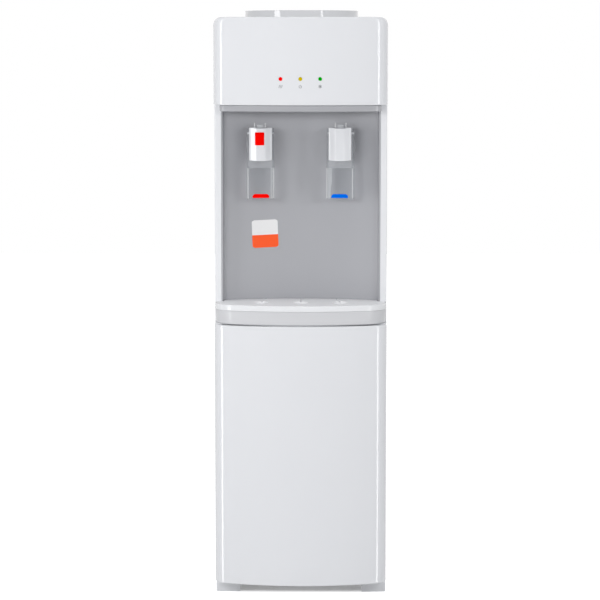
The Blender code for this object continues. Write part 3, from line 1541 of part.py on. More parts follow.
def build_cover():
    """Lift-off drip cover with three dished drains, each with a groove to the rear edge."""
    sections = []
    for level in level_list(COVER_BOTTOM, COVER_TOP, EDGE_RADIUS / 4, [EDGE_RADIUS]):
        skirt_inset = end_inset(level - COVER_BOTTOM, EDGE_RADIUS / 4)
        inset = max(skirt_inset, end_inset(COVER_TOP - level, EDGE_RADIUS))
        sections.append((tray_section(inset), level))
    cover = loft("drip_cover", sections, GLOSS_WHITE)
    wall = TRAY_WALL + TRAY_DRAFT
    underside = prism(
        "cover_underside",
        bowed_edge(
            RECESS_HALF_WIDTH - TRAY_REAR_CLEARANCE - TRAY_WALL,
            FRONT_Y + wall,
            CASE_FRONT_Y,
            front_radius_at(FRONT_Y + wall),
            CORNER_RADIUS - TRAY_WALL,
        ),
        COVER_BOTTOM - OVERRUN,
        COVER_TOP - COVER_PLATE,
    )
    cut(cover, underside)
    drain_y = FRONT_Y + DRAIN_SETBACK
    for i in (-1, 0, 1):
        x = i * DRAIN_PITCH
        cut(cover, drain_dish(x, drain_y), drain_groove(i, x, drain_y))
        hole = rod(
            "drain_hole",
            DRAIN_HOLE_RADIUS,
            (x, drain_y - DRAIN_HOLE_SHIFT, COVER_BOTTOM - OVERRUN),
            (x, drain_y - DRAIN_HOLE_SHIFT, COVER_TOP + OVERRUN),
        )
        cut(cover, hole)
    move_origin(cover, (0, MODULE_BACK_Y, COVER_BOTTOM))


def drain_dish(x, y):
    """Oval dish with sloping sides: two stacked ovals, the upper one as wide as the dish."""
    mesh = bpy.data.meshes.new("drain_dish")
    shell = bmesh.new()
    depth = DRAIN_DEPTH * 2
    floor_share, top_share = DISH_SHARES
    bmesh.ops.create_cone(
        shell, cap_ends=True, segments=DISH_STEPS, radius1=floor_share, radius2=top_share, depth=depth
    )
    bmesh.ops.scale(shell, vec=(DRAIN_HALF_WIDTH, DRAIN_HALF_LENGTH, 1), verts=shell.verts)
    shell.to_mesh(mesh)
    shell.free()
    return place("drain_dish", mesh, None, Matrix.Translation((x, y, COVER_TOP)))


def drain_groove(i, x, y):
    """Narrow groove from a dish back to the cover's rear edge, leaning towards the middle."""
    start = Vector((x, y + DRAIN_HALF_LENGTH * GROOVE_START_SHARE, 0))
    rear_y = RECESS_BACK_Y - TRAY_REAR_CLEARANCE * 2 - abs(i) * GROOVE_SIDE_DROP
    end = Vector((x * GROOVE_LEAN_SHARE, rear_y, 0))
    run = end - start
    groove = box(
        "drain_groove",
        (0, -GROOVE_WIDTH / 2, -GROOVE_DEPTH),
        (run.length, GROOVE_WIDTH / 2, OVERRUN),
    )
    turn = Matrix.Rotation(math.atan2(run.y, run.x), 4, "Z")
    groove.matrix_world = Matrix.Translation((start.x, start.y, COVER_TOP)) @ turn @ groove.matrix_world
    return groove


def build_door():
    """Bowed cabinet door with its sheet-steel liner and the magnetic catch that holds it."""
    door = bowed_shell("cabinet_door", DOOR_BOTTOM, DOOR_TOP, DOOR_BACK_Y, GLOSS_WHITE)
    hole = rod(
        "door_hinge_holes",
        HINGE_PIN_RADIUS + FIT,
        (HINGE_X, HINGE_Y, DOOR_BOTTOM - OVERRUN),
        (HINGE_X, HINGE_Y, DOOR_TOP + OVERRUN),
    )
    move_origin(door, (HINGE_X, HINGE_Y, DOOR_BOTTOM))
    cut(door, hole)
    liner_half = HALF_WIDTH - WALL - FIT
    liner = box(
        "door_liner",
        (-liner_half, DOOR_BACK_Y - DOOR_LINER_THICKNESS, DOOR_BOTTOM + WALL + FIT),
        (liner_half, DOOR_BACK_Y, DOOR_TOP - WALL - FIT),
        PAINT_WHITE,
    )
    move_origin(liner, (HINGE_X, HINGE_Y, DOOR_BOTTOM))
    catch_left = -FLANGE_EDGE_X + CATCH_SIDE_INSET
    catch_top = LINER_TOP - LINER_WALL - FIT
    box(
        "door_catch",
        (catch_left, DOOR_BACK_Y + FIT, catch_top - CATCH_HEIGHT),
        (catch_left + CATCH_WIDTH, DOOR_BACK_Y + FIT + CATCH_DEPTH, catch_top),
        BLACK,
    )


def liner_outline(inset):
    """Side view of the cabinet liner, stepped over the compressor bay."""
    front = LINER_FRONT_Y - (OVERRUN if inset else 0)
    low = LINER_BOTTOM + inset
    step_y = LINER_STEP_Y - inset
    step_z = LINER_STEP_HEIGHT + inset
    back_y = LINER_REAR_Y - inset
    high = LINER_TOP - inset
    corner = LINER_CORNER - inset
    return rounded(
        [(front, low), (step_y, low), (step_y, step_z), (back_y, step_z), (back_y, high), (front, high)],
        [0, corner, LINER_CORNER + inset, corner, corner, 0],
    )


def build_liner():
    """Moulded cabinet liner, open at the door."""
    half = FLANGE_EDGE_X - FIT
    liner = prism("cabinet_liner", liner_outline(0), -half, half, PAINT_WHITE, along="X")
    hollow_half = half - LINER_WALL
    hollow = prism("cabinet_hollow", liner_outline(LINER_WALL), -hollow_half, hollow_half, along="X")
    cut(liner, hollow)


def plate_outline(inset):
    """Plan of the compressor's foot plate and of the rubber frame under it."""
    half = COMPRESSOR_PLATE_HALF - inset
    return rounded(
        [
            (COMPRESSOR_X + half, COMPRESSOR_Y - half),
            (COMPRESSOR_X + half, COMPRESSOR_Y + half),
            (COMPRESSOR_X - half, COMPRESSOR_Y + half),
            (COMPRESSOR_X - half, COMPRESSOR_Y - half),
        ],
        PLATE_CORNER,
    )


def build_compressor():
    """Hermetic compressor with a foot plate on a rubber frame."""
    plate = prism("compressor_plate", plate_outline(0), PLATE_BOTTOM, PLATE_BOTTOM + COMPRESSOR_PLATE)
    height = COMPRESSOR_TOP - PLATE_BOTTOM
    profile = [(COMPRESSOR_RADIUS * across, PLATE_BOTTOM + height * up) for across, up in COMPRESSOR_SHARES]
    compressor = turned("compressor", profile, (COMPRESSOR_X, COMPRESSOR_Y, 0), BLACK_ENAMEL)
    join(compressor, plate)
    mount = prism("compressor_mount", plate_outline(0), BASE_HEIGHT + FIT, PLATE_BOTTOM - FIT, BLACK)
    inner = plate_outline(MOUNT_WIDTH)
    opening = prism("mount_opening", inner, BASE_HEIGHT - OVERRUN, PLATE_BOTTOM + OVERRUN)
    cut(mount, opening)


def condenser_route():
    """Serpentine of level runs joined by half-round bends, from the bottom up."""
    bend = CONDENSER_PITCH / 2
    points = [(-CONDENSER_HALF_WIDTH - bend, CONDENSER_Y, CONDENSER_BOTTOM)]
    side = 1
    for run in range(CONDENSER_RUNS):
        height = CONDENSER_BOTTOM + run * CONDENSER_PITCH
        points.append((side * CONDENSER_HALF_WIDTH, CONDENSER_Y, height))
        if run == CONDENSER_RUNS - 1:
            break
        for i in range(1, CONDENSER_BEND_STEPS):
            angle = -math.pi / 2 + math.pi * i / CONDENSER_BEND_STEPS
            x = side * (CONDENSER_HALF_WIDTH + bend * math.cos(angle))
            points.append((x, CONDENSER_Y, height + bend + bend * math.sin(angle)))
        side = -side
        points.append((-side * CONDENSER_HALF_WIDTH, CONDENSER_Y, height + CONDENSER_PITCH))
    x, y, height = points[-1]
    points.append((x + math.copysign(bend, x), y, height))
    return points


def build_condenser():
    """Wire-on-tube condenser: a serpentine tube with upright wires welded to its outer side."""
    condenser = tube("condenser", condenser_route(), CONDENSER_TUBE_RADIUS, BLACK_ENAMEL)
    inner_y = CONDENSER_Y + CONDENSER_TUBE_RADIUS - WIRE_SINK
    low = CONDENSER_BOTTOM - WIRE_OVERHANG
    high = CONDENSER_TOP + WIRE_OVERHANG
    pitch = 2 * CONDENSER_HALF_WIDTH / (WIRE_COUNT + 1)
    mesh = bpy.data.meshes.new("condenser_wires")
    shell = bmesh.new()
    for i in range(WIRE_COUNT):
        x = -CONDENSER_HALF_WIDTH + pitch * (i + 1)
        made = bmesh.ops.create_cube(shell, size=1)["verts"]
        bmesh.ops.scale(shell, vec=(WIRE_THICKNESS, WIRE_THICKNESS, high - low), verts=made)
        bmesh.ops.translate(shell, vec=(x, inner_y + WIRE_THICKNESS / 2, (low + high) / 2), verts=made)
    shell.to_mesh(mesh)
    shell.free()
    join(condenser, place("condenser_wires", mesh, None))
    hanger_front = BACK_PANEL_OUTER_Y + FIT
    hanger_rear = CONDENSER_Y - CONDENSER_TUBE_RADIUS - FIT
    hanger = box(
        "condenser_hanger",
        (-HANGER_WIDTH / 2, hanger_front, CONDENSER_BOTTOM),
        (HANGER_WIDTH / 2, hanger_rear, CONDENSER_TOP),
        ZINC_SHEET,
    )
    for height in (CONDENSER_BOTTOM, CONDENSER_TOP):
        bar = box(
            "hanger_bar",
            (-HANGER_HALF_SPAN, hanger_front, height - HANGER_WIDTH / 2),
            (HANGER_HALF_SPAN, hanger_rear, height + HANGER_WIDTH / 2),
        )
        join(hanger, bar)


def build_pipes():
    """Discharge pipe, filter drier and suction pipe."""
    bend = CONDENSER_PITCH / 2
    end_x = CONDENSER_HALF_WIDTH + bend
    shell_top = COMPRESSOR_TOP + FIT
    start = Vector((COMPRESSOR_X + COMPRESSOR_RADIUS * 0.5, COMPRESSOR_Y, shell_top))
    pipe_y = CONDENSER_Y - CONDENSER_TUBE_RADIUS - FIT - PIPE_RADIUS
    riser_x = end_x + bend * 0.25
    low_turn = BAY_OPENING_TOP - bend * 0.6
    route = [
        start,
        start + Vector((0, 0, bend * 0.35)),
        Vector((start.x + COMPRESSOR_RADIUS * 0.3, COMPRESSOR_Y + COMPRESSOR_RADIUS * 0.9, low_turn)),
        Vector((riser_x - bend * 0.6, pipe_y, low_turn)),
        Vector((riser_x, pipe_y, BAY_OPENING_TOP + bend)),
        Vector((riser_x, pipe_y, CONDENSER_BOTTOM)),
        Vector((riser_x, pipe_y, (CONDENSER_BOTTOM + CONDENSER_TOP) / 2)),
        Vector((riser_x, pipe_y, CONDENSER_TOP - bend)),
        Vector((end_x, pipe_y, CONDENSER_TOP)),
        Vector((end_x - bend * 0.4, pipe_y, CONDENSER_TOP)),
    ]
    tube("discharge_pipe", smooth_route(route, PIPE_STEPS), PIPE_RADIUS, COPPER)
    drier_x = -end_x + PIPE_RADIUS * 2
    drier_top = CONDENSER_BOTTOM + PIPE_RADIUS * 2
    turned(
        "filter_drier",
        [
            (0, drier_top),
            (PIPE_RADIUS, drier_top),
            (PIPE_RADIUS, drier_top - DRIER_NECK),
            (DRIER_RADIUS, drier_top - DRIER_NECK * 2),
            (DRIER_RADIUS, drier_top - DRIER_NECK * 2 - DRIER_LENGTH),
            (PIPE_RADIUS, drier_top - DRIER_NECK * 3 - DRIER_LENGTH),
            (0, drier_top - DRIER_NECK * 3 - DRIER_LENGTH),
        ],
        (drier_x, pipe_y, 0),
        COPPER,
        SMALL_ROUND_STEPS,
    )
    gap_y = (LINER_REAR_Y + BACK_PANEL_INNER_Y) / 2
    suction_x = COMPRESSOR_X - COMPRESSOR_RADIUS * 0.5
    tank_axis = Vector((0, COLLAR_CENTRE_Y, COLD_TANK_BOTTOM + bend))
    towards = Vector((suction_x - bend * 2.2, gap_y - COLLAR_CENTRE_Y, 0)).normalized()
    suction = [
        Vector((suction_x, COMPRESSOR_Y, shell_top)),
        Vector((suction_x, COMPRESSOR_Y, shell_top + bend * 0.3)),
        Vector((suction_x - bend, gap_y - bend * 0.6, LINER_STEP_HEIGHT - bend * 0.35)),
        Vector((suction_x - bend * 1.4, gap_y, LINER_STEP_HEIGHT + bend)),
        Vector((suction_x - bend * 1.4, gap_y, LINER_TOP - bend)),
        Vector((suction_x - bend * 2.2, gap_y, HOT_TANK_BOTTOM)),
        Vector((suction_x - bend * 2.2, gap_y, COLD_TANK_BOTTOM - bend * 2)),
        tank_axis + towards * (INSULATION_RADIUS + bend * 0.5),
        tank_axis + towards * (INSULATION_RADIUS + FIT),
    ]
    tube("suction_pipe", smooth_route(suction, PIPE_STEPS), PIPE_RADIUS, COPPER)


def switch_places():
    """Sideways place of the hot and the cold switch."""
    return (SWITCH_X - SWITCH_PITCH / 2, SWITCH_X + SWITCH_PITCH / 2)


def build_switches():
    """Two rocker switches in one housing on the back panel, both shown switched off."""
    z = SWITCH_HEIGHT
    outer = BACK_PANEL_OUTER_Y + FIT
    axis_y = outer + SWITCH_BEZEL_THICKNESS - ROCKER_BODY
    reach = SWITCH_PITCH / 2 + SWITCH_HALF_WIDTH + SWITCH_BEZEL
    housing = box(
        "switch_housing",
        (SWITCH_X - reach, outer, z - SWITCH_HALF_HEIGHT - SWITCH_BEZEL),
        (SWITCH_X + reach, outer + SWITCH_BEZEL_THICKNESS, z + SWITCH_HALF_HEIGHT + SWITCH_BEZEL),
        BLACK,
    )
    for x in switch_places():
        body = box(
            "switch_body",
            (x - SWITCH_HALF_WIDTH, outer - SWITCH_BODY_DEPTH, z - SWITCH_HALF_HEIGHT),
            (x + SWITCH_HALF_WIDTH, outer + SWITCH_BEZEL_THICKNESS / 2, z + SWITCH_HALF_HEIGHT),
        )
        pocket = box(
            "switch_pocket",
            (
                x - ROCKER_HALF_WIDTH - FIT,
                axis_y - ROCKER_BODY - ROCKER_CLEARANCE * 2,
                z - ROCKER_HALF_HEIGHT - ROCKER_CLEARANCE,
            ),
            (x + ROCKER_HALF_WIDTH + FIT, outer + OVERRUN, z + ROCKER_HALF_HEIGHT + ROCKER_CLEARANCE),
        )
        join(housing, body)
        cut(housing, pocket)
    for x, side, finish in zip(switch_places(), ("hot", "cold"), (RED, GREEN)):
        name = f"{side}_switch_rocker"
        rocker = prism(name, rocker_outline(), -ROCKER_HALF_WIDTH, ROCKER_HALF_WIDTH, finish, along="X")
        move_origin(rocker, (0, 0, 0))
        tilt = Matrix.Rotation(-ROCKER_TILT, 4, "X")
        rocker.matrix_world = Matrix.Translation((x, axis_y, z)) @ tilt


def rocker_outline():
    """Side view of a rocker about its pivot: a dished face on a shallow body."""
    face = ROCKER_BODY + ROCKER_PROUD / 2
    heel, lip = [ROCKER_HALF_HEIGHT * share for share in ROCKER_SHARES]
    return [
        (-ROCKER_BODY / 2, -heel),
        (0, -ROCKER_HALF_HEIGHT),
        (face, -lip),
        (face - ROCKER_DIP, 0),
        (face, lip),
        (0, ROCKER_HALF_HEIGHT),
        (-ROCKER_BODY / 2, heel),
    ]


def build_inlet():
    """Three-pin appliance inlet for a lead that plugs in."""
    outer = BACK_PANEL_OUTER_Y + FIT
    x = INLET_X
    z = FITTING_HEIGHT
    inlet = box(
        "power_inlet",
        (x - INLET_HALF_WIDTH, outer - INLET_BODY_DEPTH, z - INLET_HALF_HEIGHT),
        (x + INLET_HALF_WIDTH, outer + INLET_BEZEL_THICKNESS / 2, z + INLET_HALF_HEIGHT),
        BLACK,
    )
    across = INLET_HALF_WIDTH + INLET_BEZEL
    up = INLET_HALF_HEIGHT + INLET_BEZEL
    face = outer + INLET_BEZEL_THICKNESS
    bezel = box("inlet_bezel", (x - across, outer, z - up), (x + across, face, z + up))
    floor = face - INLET_CAVITY_DEPTH
    cavity = box(
        "inlet_cavity",
        (x - INLET_HALF_WIDTH + INLET_WALL, floor, z - INLET_HALF_HEIGHT + INLET_WALL),
        (x + INLET_HALF_WIDTH - INLET_WALL, face + OVERRUN, z + INLET_HALF_HEIGHT - INLET_WALL),
    )
    join(inlet, bezel)
    cut(inlet, cavity)
    for i in (-1, 0, 1):
        pin_x = x + i * INLET_PIN_PITCH
        pin_z = z + (INLET_PIN_WIDTH if i == 0 else -INLET_PIN_WIDTH / 2)
        pin = box(
            "inlet_pin",
            (pin_x - INLET_PIN_WIDTH / 2, floor - INLET_PIN_WIDTH, pin_z - INLET_PIN_HEIGHT / 2),
            (pin_x + INLET_PIN_WIDTH / 2, floor + INLET_PIN_LENGTH, pin_z + INLET_PIN_HEIGHT / 2),
        )
        join(inlet, pin)


def build_drain():
    """Drain outlet of the hot tank, with its screw cap."""
    x = DRAIN_PIPE_X
    z = FITTING_HEIGHT
    outer = BACK_PANEL_OUTER_Y + FIT
    inner_end = BACK_PANEL_INNER_Y - DRAIN_INNER_REACH
    tip = outer + DRAIN_FLANGE_THICKNESS + DRAIN_PIPE_REACH / 2
    spout = rod("drain_outlet", DRAIN_PIPE_RADIUS, (x, inner_end, z), (x, tip, z), GLOSS_WHITE)
    flange = rod("drain_flange", DRAIN_FLANGE_RADIUS, (x, outer, z), (x, outer + DRAIN_FLANGE_THICKNESS, z))
    bore = rod("drain_bore", DRAIN_PIPE_BORE, (x, inner_end - OVERRUN, z), (x, tip + OVERRUN, z))
    join(spout, flange)
    cut(spout, bore)
    cap_start = outer + DRAIN_FLANGE_THICKNESS + FIT
    cap_radius = DRAIN_PIPE_RADIUS + FIT + DRAIN_CAP_WALL
    cap = rod("drain_cap", cap_radius, (x, cap_start, z), (x, cap_start + DRAIN_CAP_LENGTH, z), BLACK)
    hollow = rod("drain_cap_hollow", DRAIN_PIPE_RADIUS + FIT, (x, cap_start - OVERRUN, z), (x, tip + FIT, z))
    move_origin(cap, (x, cap_start, z))
    cut(cap, hollow)


def build_hoses():
    """Silicone hoses between the tanks, the taps and the drain."""
    shank_end = BOSS_REAR_Y + SHANK_TAIL + FIT
    hot_x = tap_places()["hot"]
    cold_x = tap_places()["cold"]
    tank_floor = COLD_TANK_BOTTOM - FIT * 3 - INSULATION_FLOOR
    r = HOSE_RADIUS
    inlet_x = -HOT_TANK_RADIUS * HOT_INLET_SHARES[0]
    inlet_y = HOT_TANK_Y - HOT_TANK_RADIUS * HOT_INLET_SHARES[1]
    cold = [
        tap_turn(cold_x) @ Vector((cold_x, shank_end, SHANK_HEIGHT)),
        tap_turn(cold_x) @ Vector((cold_x, shank_end + r * 2, SHANK_HEIGHT)),
        (cold_x + r, shank_end + r * 4, SHANK_HEIGHT - r * 4),
        (cold_x - r, COLLAR_CENTRE_Y - INSULATION_RADIUS / 2 - r * 3, tank_floor - r * 3),
        (cold_x - r * 6, COLLAR_CENTRE_Y - INSULATION_RADIUS / 2 - r * 2, tank_floor - r * 2.4),
        (cold_x - r * 7.4, COLLAR_CENTRE_Y - INSULATION_RADIUS / 2 - r * 1.6, tank_floor - r * 0.8),
        (cold_x - r * 7.4, COLLAR_CENTRE_Y - INSULATION_RADIUS / 2 - r * 1.6, tank_floor + FIT),
    ]
    tube("cold_hose", smooth_route(cold), r, HOSE_CLEAR)
    hot = [
        tap_turn(hot_x) @ Vector((hot_x, shank_end, SHANK_HEIGHT)),
        tap_turn(hot_x) @ Vector((hot_x, shank_end + r * 2, SHANK_HEIGHT)),
        (hot_x - r, shank_end + r * 4, SHANK_HEIGHT - r * 4),
        (hot_x - r, HOT_TANK_Y - HOT_TANK_RADIUS, HOT_TANK_TOP + r * 3),
        (inlet_x - r * 2, inlet_y, HOT_TANK_TOP + r * 3.5),
        (inlet_x, inlet_y, HOT_TANK_TOP + r),
        (inlet_x, inlet_y, HOT_TANK_TOP + FIT),
    ]
    tube("hot_hose", smooth_route(hot), r, HOSE_CLEAR)
    feed = [
        (0, HOT_TANK_Y, tank_floor - BRACKET_SHEET),
        (0, HOT_TANK_Y, HOT_TANK_TOP + r * 3),
        (0, HOT_TANK_Y, HOT_TANK_TOP + FIT),
    ]
    tube("feed_hose", smooth_route(feed), r, HOSE_CLEAR)
    drain_start = BACK_PANEL_INNER_Y - DRAIN_INNER_REACH - FIT
    hose_y = LINER_REAR_Y + r * 1.3
    drain = [
        (DRAIN_PIPE_X, drain_start, FITTING_HEIGHT),
        (DRAIN_PIPE_X, drain_start - r, FITTING_HEIGHT),
        (DRAIN_PIPE_X, hose_y, FITTING_HEIGHT + r * 3),
        (DRAIN_PIPE_X, hose_y, DECK_TOP),
        (DRAIN_PIPE_X, hose_y, HOT_TANK_BOTTOM - r * 4),
        (DRAIN_PIPE_X + r * 4, HOT_TANK_Y + r * 4, HOT_TANK_BOTTOM - r * 6),
        (-HOT_TANK_RADIUS / 2, HOT_TANK_Y, HOT_TANK_BOTTOM - r * 4),
        (-HOT_TANK_RADIUS / 2, HOT_TANK_Y, HOT_TANK_BOTTOM - BRACKET_SHEET - FIT * 2),
    ]
    tube("drain_hose", smooth_route(drain), r, HOSE_CLEAR)


def build_cooler():
    """Build every piece of the cooler, from the floor up."""
    build_base_pan()
    build_side_panels()
    build_back_panel()
    build_liner()
    build_door()
    build_deck()
    build_tray()
    build_cover()
    build_recess_panel()
    build_recess_hood()
    build_taps()
    build_head()
    build_lamps()
    build_top_cover()
    build_collar()
    build_probe()
    build_cold_tank()
    build_hot_tank()
    build_compressor()
    build_condenser()
    build_pipes()
    build_switches()
    build_inlet()
    build_drain()
    build_hoses()


build_cooler()
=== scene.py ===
"""Looks of a free-standing water cooler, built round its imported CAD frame.

Every new piece is a surface computed with numpy from the sizes below. The pieces of the frame
that stay get procedural finishes. Metres, +Z up, the front faces -Y.
"""

import logging
import math
from collections.abc import Sequence
from dataclasses import dataclass
from enum import Enum

import bpy
import numpy as np
from mathutils import Matrix, Vector


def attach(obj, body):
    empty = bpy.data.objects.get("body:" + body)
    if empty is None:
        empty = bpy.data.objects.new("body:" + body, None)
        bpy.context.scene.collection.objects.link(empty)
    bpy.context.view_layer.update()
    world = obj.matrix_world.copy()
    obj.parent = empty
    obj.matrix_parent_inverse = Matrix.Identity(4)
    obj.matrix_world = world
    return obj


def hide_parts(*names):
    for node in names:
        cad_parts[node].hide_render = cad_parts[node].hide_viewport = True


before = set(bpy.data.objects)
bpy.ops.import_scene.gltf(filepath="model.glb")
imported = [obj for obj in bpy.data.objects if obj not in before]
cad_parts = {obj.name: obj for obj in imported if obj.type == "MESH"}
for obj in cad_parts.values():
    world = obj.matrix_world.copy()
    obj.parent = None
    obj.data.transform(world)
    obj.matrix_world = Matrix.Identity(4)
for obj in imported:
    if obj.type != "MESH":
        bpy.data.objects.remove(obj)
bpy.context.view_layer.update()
LOG = logging.getLogger("water_cooler")

# Case and the bowed front that its modules share
HALF_WIDTH = 0.145
FRONT_Y = -0.165
CASE_FRONT_Y = -0.093
MODULE_GAP = 0.0003
MODULE_BACK_Y = CASE_FRONT_Y - MODULE_GAP
BOW_RADIUS = 0.400
CORNER_RADIUS = 0.022
WALL = 0.0025
SKIN = 0.0002

# Head and door
HEAD_BOTTOM = 0.833
HEAD_TOP = 0.978
SHOULDER = 0.013
DOOR_BOTTOM = 0.0265
DOOR_TOP = 0.4662
DOOR_BACK_Y = -0.0975

# Lamps and their shallow seats
LAMP_HEIGHT = 0.8765
LAMP_PITCH = 0.0325
LAMP_RADIUS = 0.0031
SEAT_RADIUS = 0.0032
SEAT_EDGE = 0.0005
SEAT_DEPTH = 0.0008

# Recess behind the taps
RECESS_HALF = 0.1315
RECESS_BACK_Y = -0.050
RECESS_RADIUS = 0.360
RECESS_CORNER = 0.006
RECESS_BOTTOM = 0.4680
RECESS_TOP = HEAD_BOTTOM - MODULE_GAP

# Taps
TAP_X = 0.06875
TAP_TURN = math.radians(6)
BARREL_Y = -0.086
SHANK_HEIGHT = 0.762
LEVER_FRONT_Y = -0.1095
HOT_SHIFT = -0.0004
COLD_SHIFT = -0.0012
# Widths of the cold lever's two painted highlight bands
COLD_BANDS = (0.0050, 0.0068)

# Axis of the bottle
COLLAR_Y = 0.025

# Steps of round stretches
CORNER_STEPS = 17
EDGE_STEPS = 9
REFINED_STEPS = 41
SMALLEST_CORNER = 0.0001
LEVEL_DIGITS = 7
SHARE_DIGITS = 6

# Values that every finish shares
FINE_DETAIL = 3.0
BROAD_DETAIL = 2.0
BROAD_SCALE = 9.0
RELIEF_DEPTH = 0.0004
COAT_ROUGHNESS = 0.04
THROUGH_COLOUR = (0.955, 0.96, 0.965, 1.0)
THROUGH_BLEND = 0.25
THROUGH_LOSS = 0.5
PURE_WHITE = (1.0, 1.0, 1.0, 1.0)


class Body(str, Enum):
    """Moving bodies of the frame that pieces ride on."""

    CASE = "cooler_body"
    HOT_LEVER = "hot_lever_group"
    COLD_LEVER = "cold_lever_group"
    LOCK = "child_lock"
    DOOR = "door"
    TRAY = "tray"
    COVER = "tray_cover"
    COLLAR = "collar"


class Grain(Enum):
    """Fine surface patterns, each with its scale in cycles per metre along X, Y and Z."""

    SMOOTH = (60.0, 60.0, 60.0)
    PEEL = (260.0, 260.0, 260.0)
    BRUSHED = (900.0, 900.0, 12.0)
    PITTED = (700.0, 700.0, 700.0)


def add_node(tree: bpy.types.NodeTree, kind: str, values: dict, **options: str) -> bpy.types.Node:
    """Adds a shader node.

    Args:
        tree: the node tree to add to.
        kind: the node's type, without the part that all shader nodes share.
        values: input values by the socket's name or number.
        options: the node's own options by name.

    Returns:
        The node.
    """
    node = tree.nodes.new("ShaderNode" + kind)
    for name, option in options.items():
        setattr(node, name, option)
    for socket, value in values.items():
        node.inputs[socket].default_value = value
    return node


@dataclass(frozen=True)
class Finish:
    """A procedural finish.

    Args:
        name: name of the material.
        colour: main linear colour.
        drift: second linear colour that the first drifts to.
        roughness: lowest and highest roughness.
        grain: kind of fine pattern.
        bump: strength of the pattern in the normal.
        metallic: metallic share.
        clear: share of light let straight through.
        coat: clear coat share.
        glow: emission strength.
        specular: specular share, 0.5 for a plain plastic.
    """

    name: str
    colour: tuple[float, float, float]
    drift: tuple[float, float, float]
    roughness: tuple[float, float] = (0.25, 0.32)
    grain: Grain = Grain.SMOOTH
    bump: float = 0.02
    metallic: float = 0.0
    clear: float = 0.0
    coat: float = 0.0
    glow: float = 0.0
    specular: float = 0.5

    def build(self) -> bpy.types.Material:
        """Builds the node tree once and then hands out the same material.

        Returns:
            The material.
        """
        known = bpy.data.materials.get(self.name)
        if known is not None:
            return known
        material = bpy.data.materials.new(self.name)
        material.use_nodes = True
        tree = material.node_tree
        shader = tree.nodes["Principled BSDF"]
        where = add_node(tree, "TexCoord", {})
        stretch = add_node(tree, "Mapping", {"Scale": self.grain.value})
        fine = add_node(tree, "TexNoise", {"Scale": 1.0, "Detail": FINE_DETAIL})
        broad = add_node(tree, "TexNoise", {"Scale": BROAD_SCALE, "Detail": BROAD_DETAIL})
        tint = add_node(tree, "Mix", {"A": (*self.colour, 1.0), "B": (*self.drift, 1.0)}, data_type="RGBA")
        sheen = add_node(tree, "MapRange", {"To Min": self.roughness[0], "To Max": self.roughness[1]})
        relief = add_node(tree, "Bump", {"Strength": self.bump, "Distance": RELIEF_DEPTH})
        link = tree.links.new
        link(where.outputs["Object"], stretch.inputs["Vector"])
        link(stretch.outputs["Vector"], fine.inputs["Vector"])
        link(where.outputs["Object"], broad.inputs["Vector"])
        link(broad.outputs["Fac"], tint.inputs["Factor"])
        link(tint.outputs["Result"], shader.inputs["Base Color"])
        link(fine.outputs["Fac"], sheen.inputs["Value"])
        link(sheen.outputs["Result"], shader.inputs["Roughness"])
        link(fine.outputs["Fac"], relief.inputs["Height"])
        link(relief.outputs["Normal"], shader.inputs["Normal"])
        plain = {
            "Metallic": self.metallic,
            "Specular IOR Level": self.specular,
            "Coat Weight": self.coat,
            "Coat Roughness": COAT_ROUGHNESS,
        }
        for socket, value in plain.items():
            shader.inputs[socket].default_value = value
        if self.glow:
            link(tint.outputs["Result"], shader.inputs["Emission Color"])
            shader.inputs["Emission Strength"].default_value = self.glow
        if self.clear:
            self.let_through(tree, shader)
        return material

    def let_through(self, tree: bpy.types.NodeTree, shader: bpy.types.Node) -> None:
        """Mixes straight-through light into the shader, less of it towards the rims.

        Args:
            tree: the material's node tree.
            shader: the Principled shader.
        """
        solid = 1.0 - self.clear
        through = add_node(tree, "BsdfTransparent", {"Color": THROUGH_COLOUR})
        facing = add_node(tree, "LayerWeight", {"Blend": THROUGH_BLEND})
        share = add_node(tree, "MapRange", {"To Min": solid, "To Max": min(1.0, solid + THROUGH_LOSS)})
        blend = add_node(tree, "MixShader", {})
        link = tree.links.new
        link(facing.outputs["Fresnel"], share.inputs["Value"])
        link(share.outputs["Result"], blend.inputs["Fac"])
        link(through.outputs["BSDF"], blend.inputs[1])
        link(shader.outputs["BSDF"], blend.inputs[2])
        link(blend.outputs["Shader"], tree.nodes["Material Output"].inputs["Surface"])


GLOSS_WHITE = Finish("gloss_white_abs", (0.78, 0.79, 0.815), (0.76, 0.77, 0.80), (0.06, 0.09), coat=0.6)
PAINT_WHITE = Finish(
    "white_powder_coat", (0.84, 0.85, 0.87), (0.81, 0.82, 0.845), (0.36, 0.48), Grain.PEEL, 0.08
)
SATIN_GREY = Finish("satin_grey_abs", (0.43, 0.435, 0.46), (0.424, 0.429, 0.454), (0.27, 0.29), coat=0.10)
HOOD_GREY = Finish("hood_grey_abs", (0.42, 0.425, 0.45), (0.414, 0.419, 0.444), (0.10, 0.12), coat=0.5)
COLLAR_GREY = Finish("collar_grey_abs", (0.66, 0.665, 0.685), (0.64, 0.645, 0.665), (0.06, 0.09), coat=1.0)
COVER_WHITE = Finish("cover_white_abs", (0.83, 0.84, 0.86), (0.81, 0.82, 0.84), (0.10, 0.13), coat=0.3)
# The cover's top is lighter than its skirt, though both are one white moulding: painted light on the top
# face.
COVER_TOP_WHITE = Finish(
    "cover_top_abs", (0.92, 0.925, 0.94), (0.90, 0.905, 0.92), (0.45, 0.46), specular=0.05
)
# The tray's white is darker than the cover's: partly its own grey-white, partly painted shade for its front
# face, which tilts down and gets less light.
TRAY_WHITE = Finish("tray_white_abs", (0.655, 0.66, 0.68), (0.647, 0.652, 0.672), (0.30, 0.305), coat=0.05)
CLEAR = Finish(
    "clear_plastic", (0.62, 0.64, 0.66), (0.58, 0.60, 0.62), (0.06, 0.12), clear=0.95, specular=0.3
)
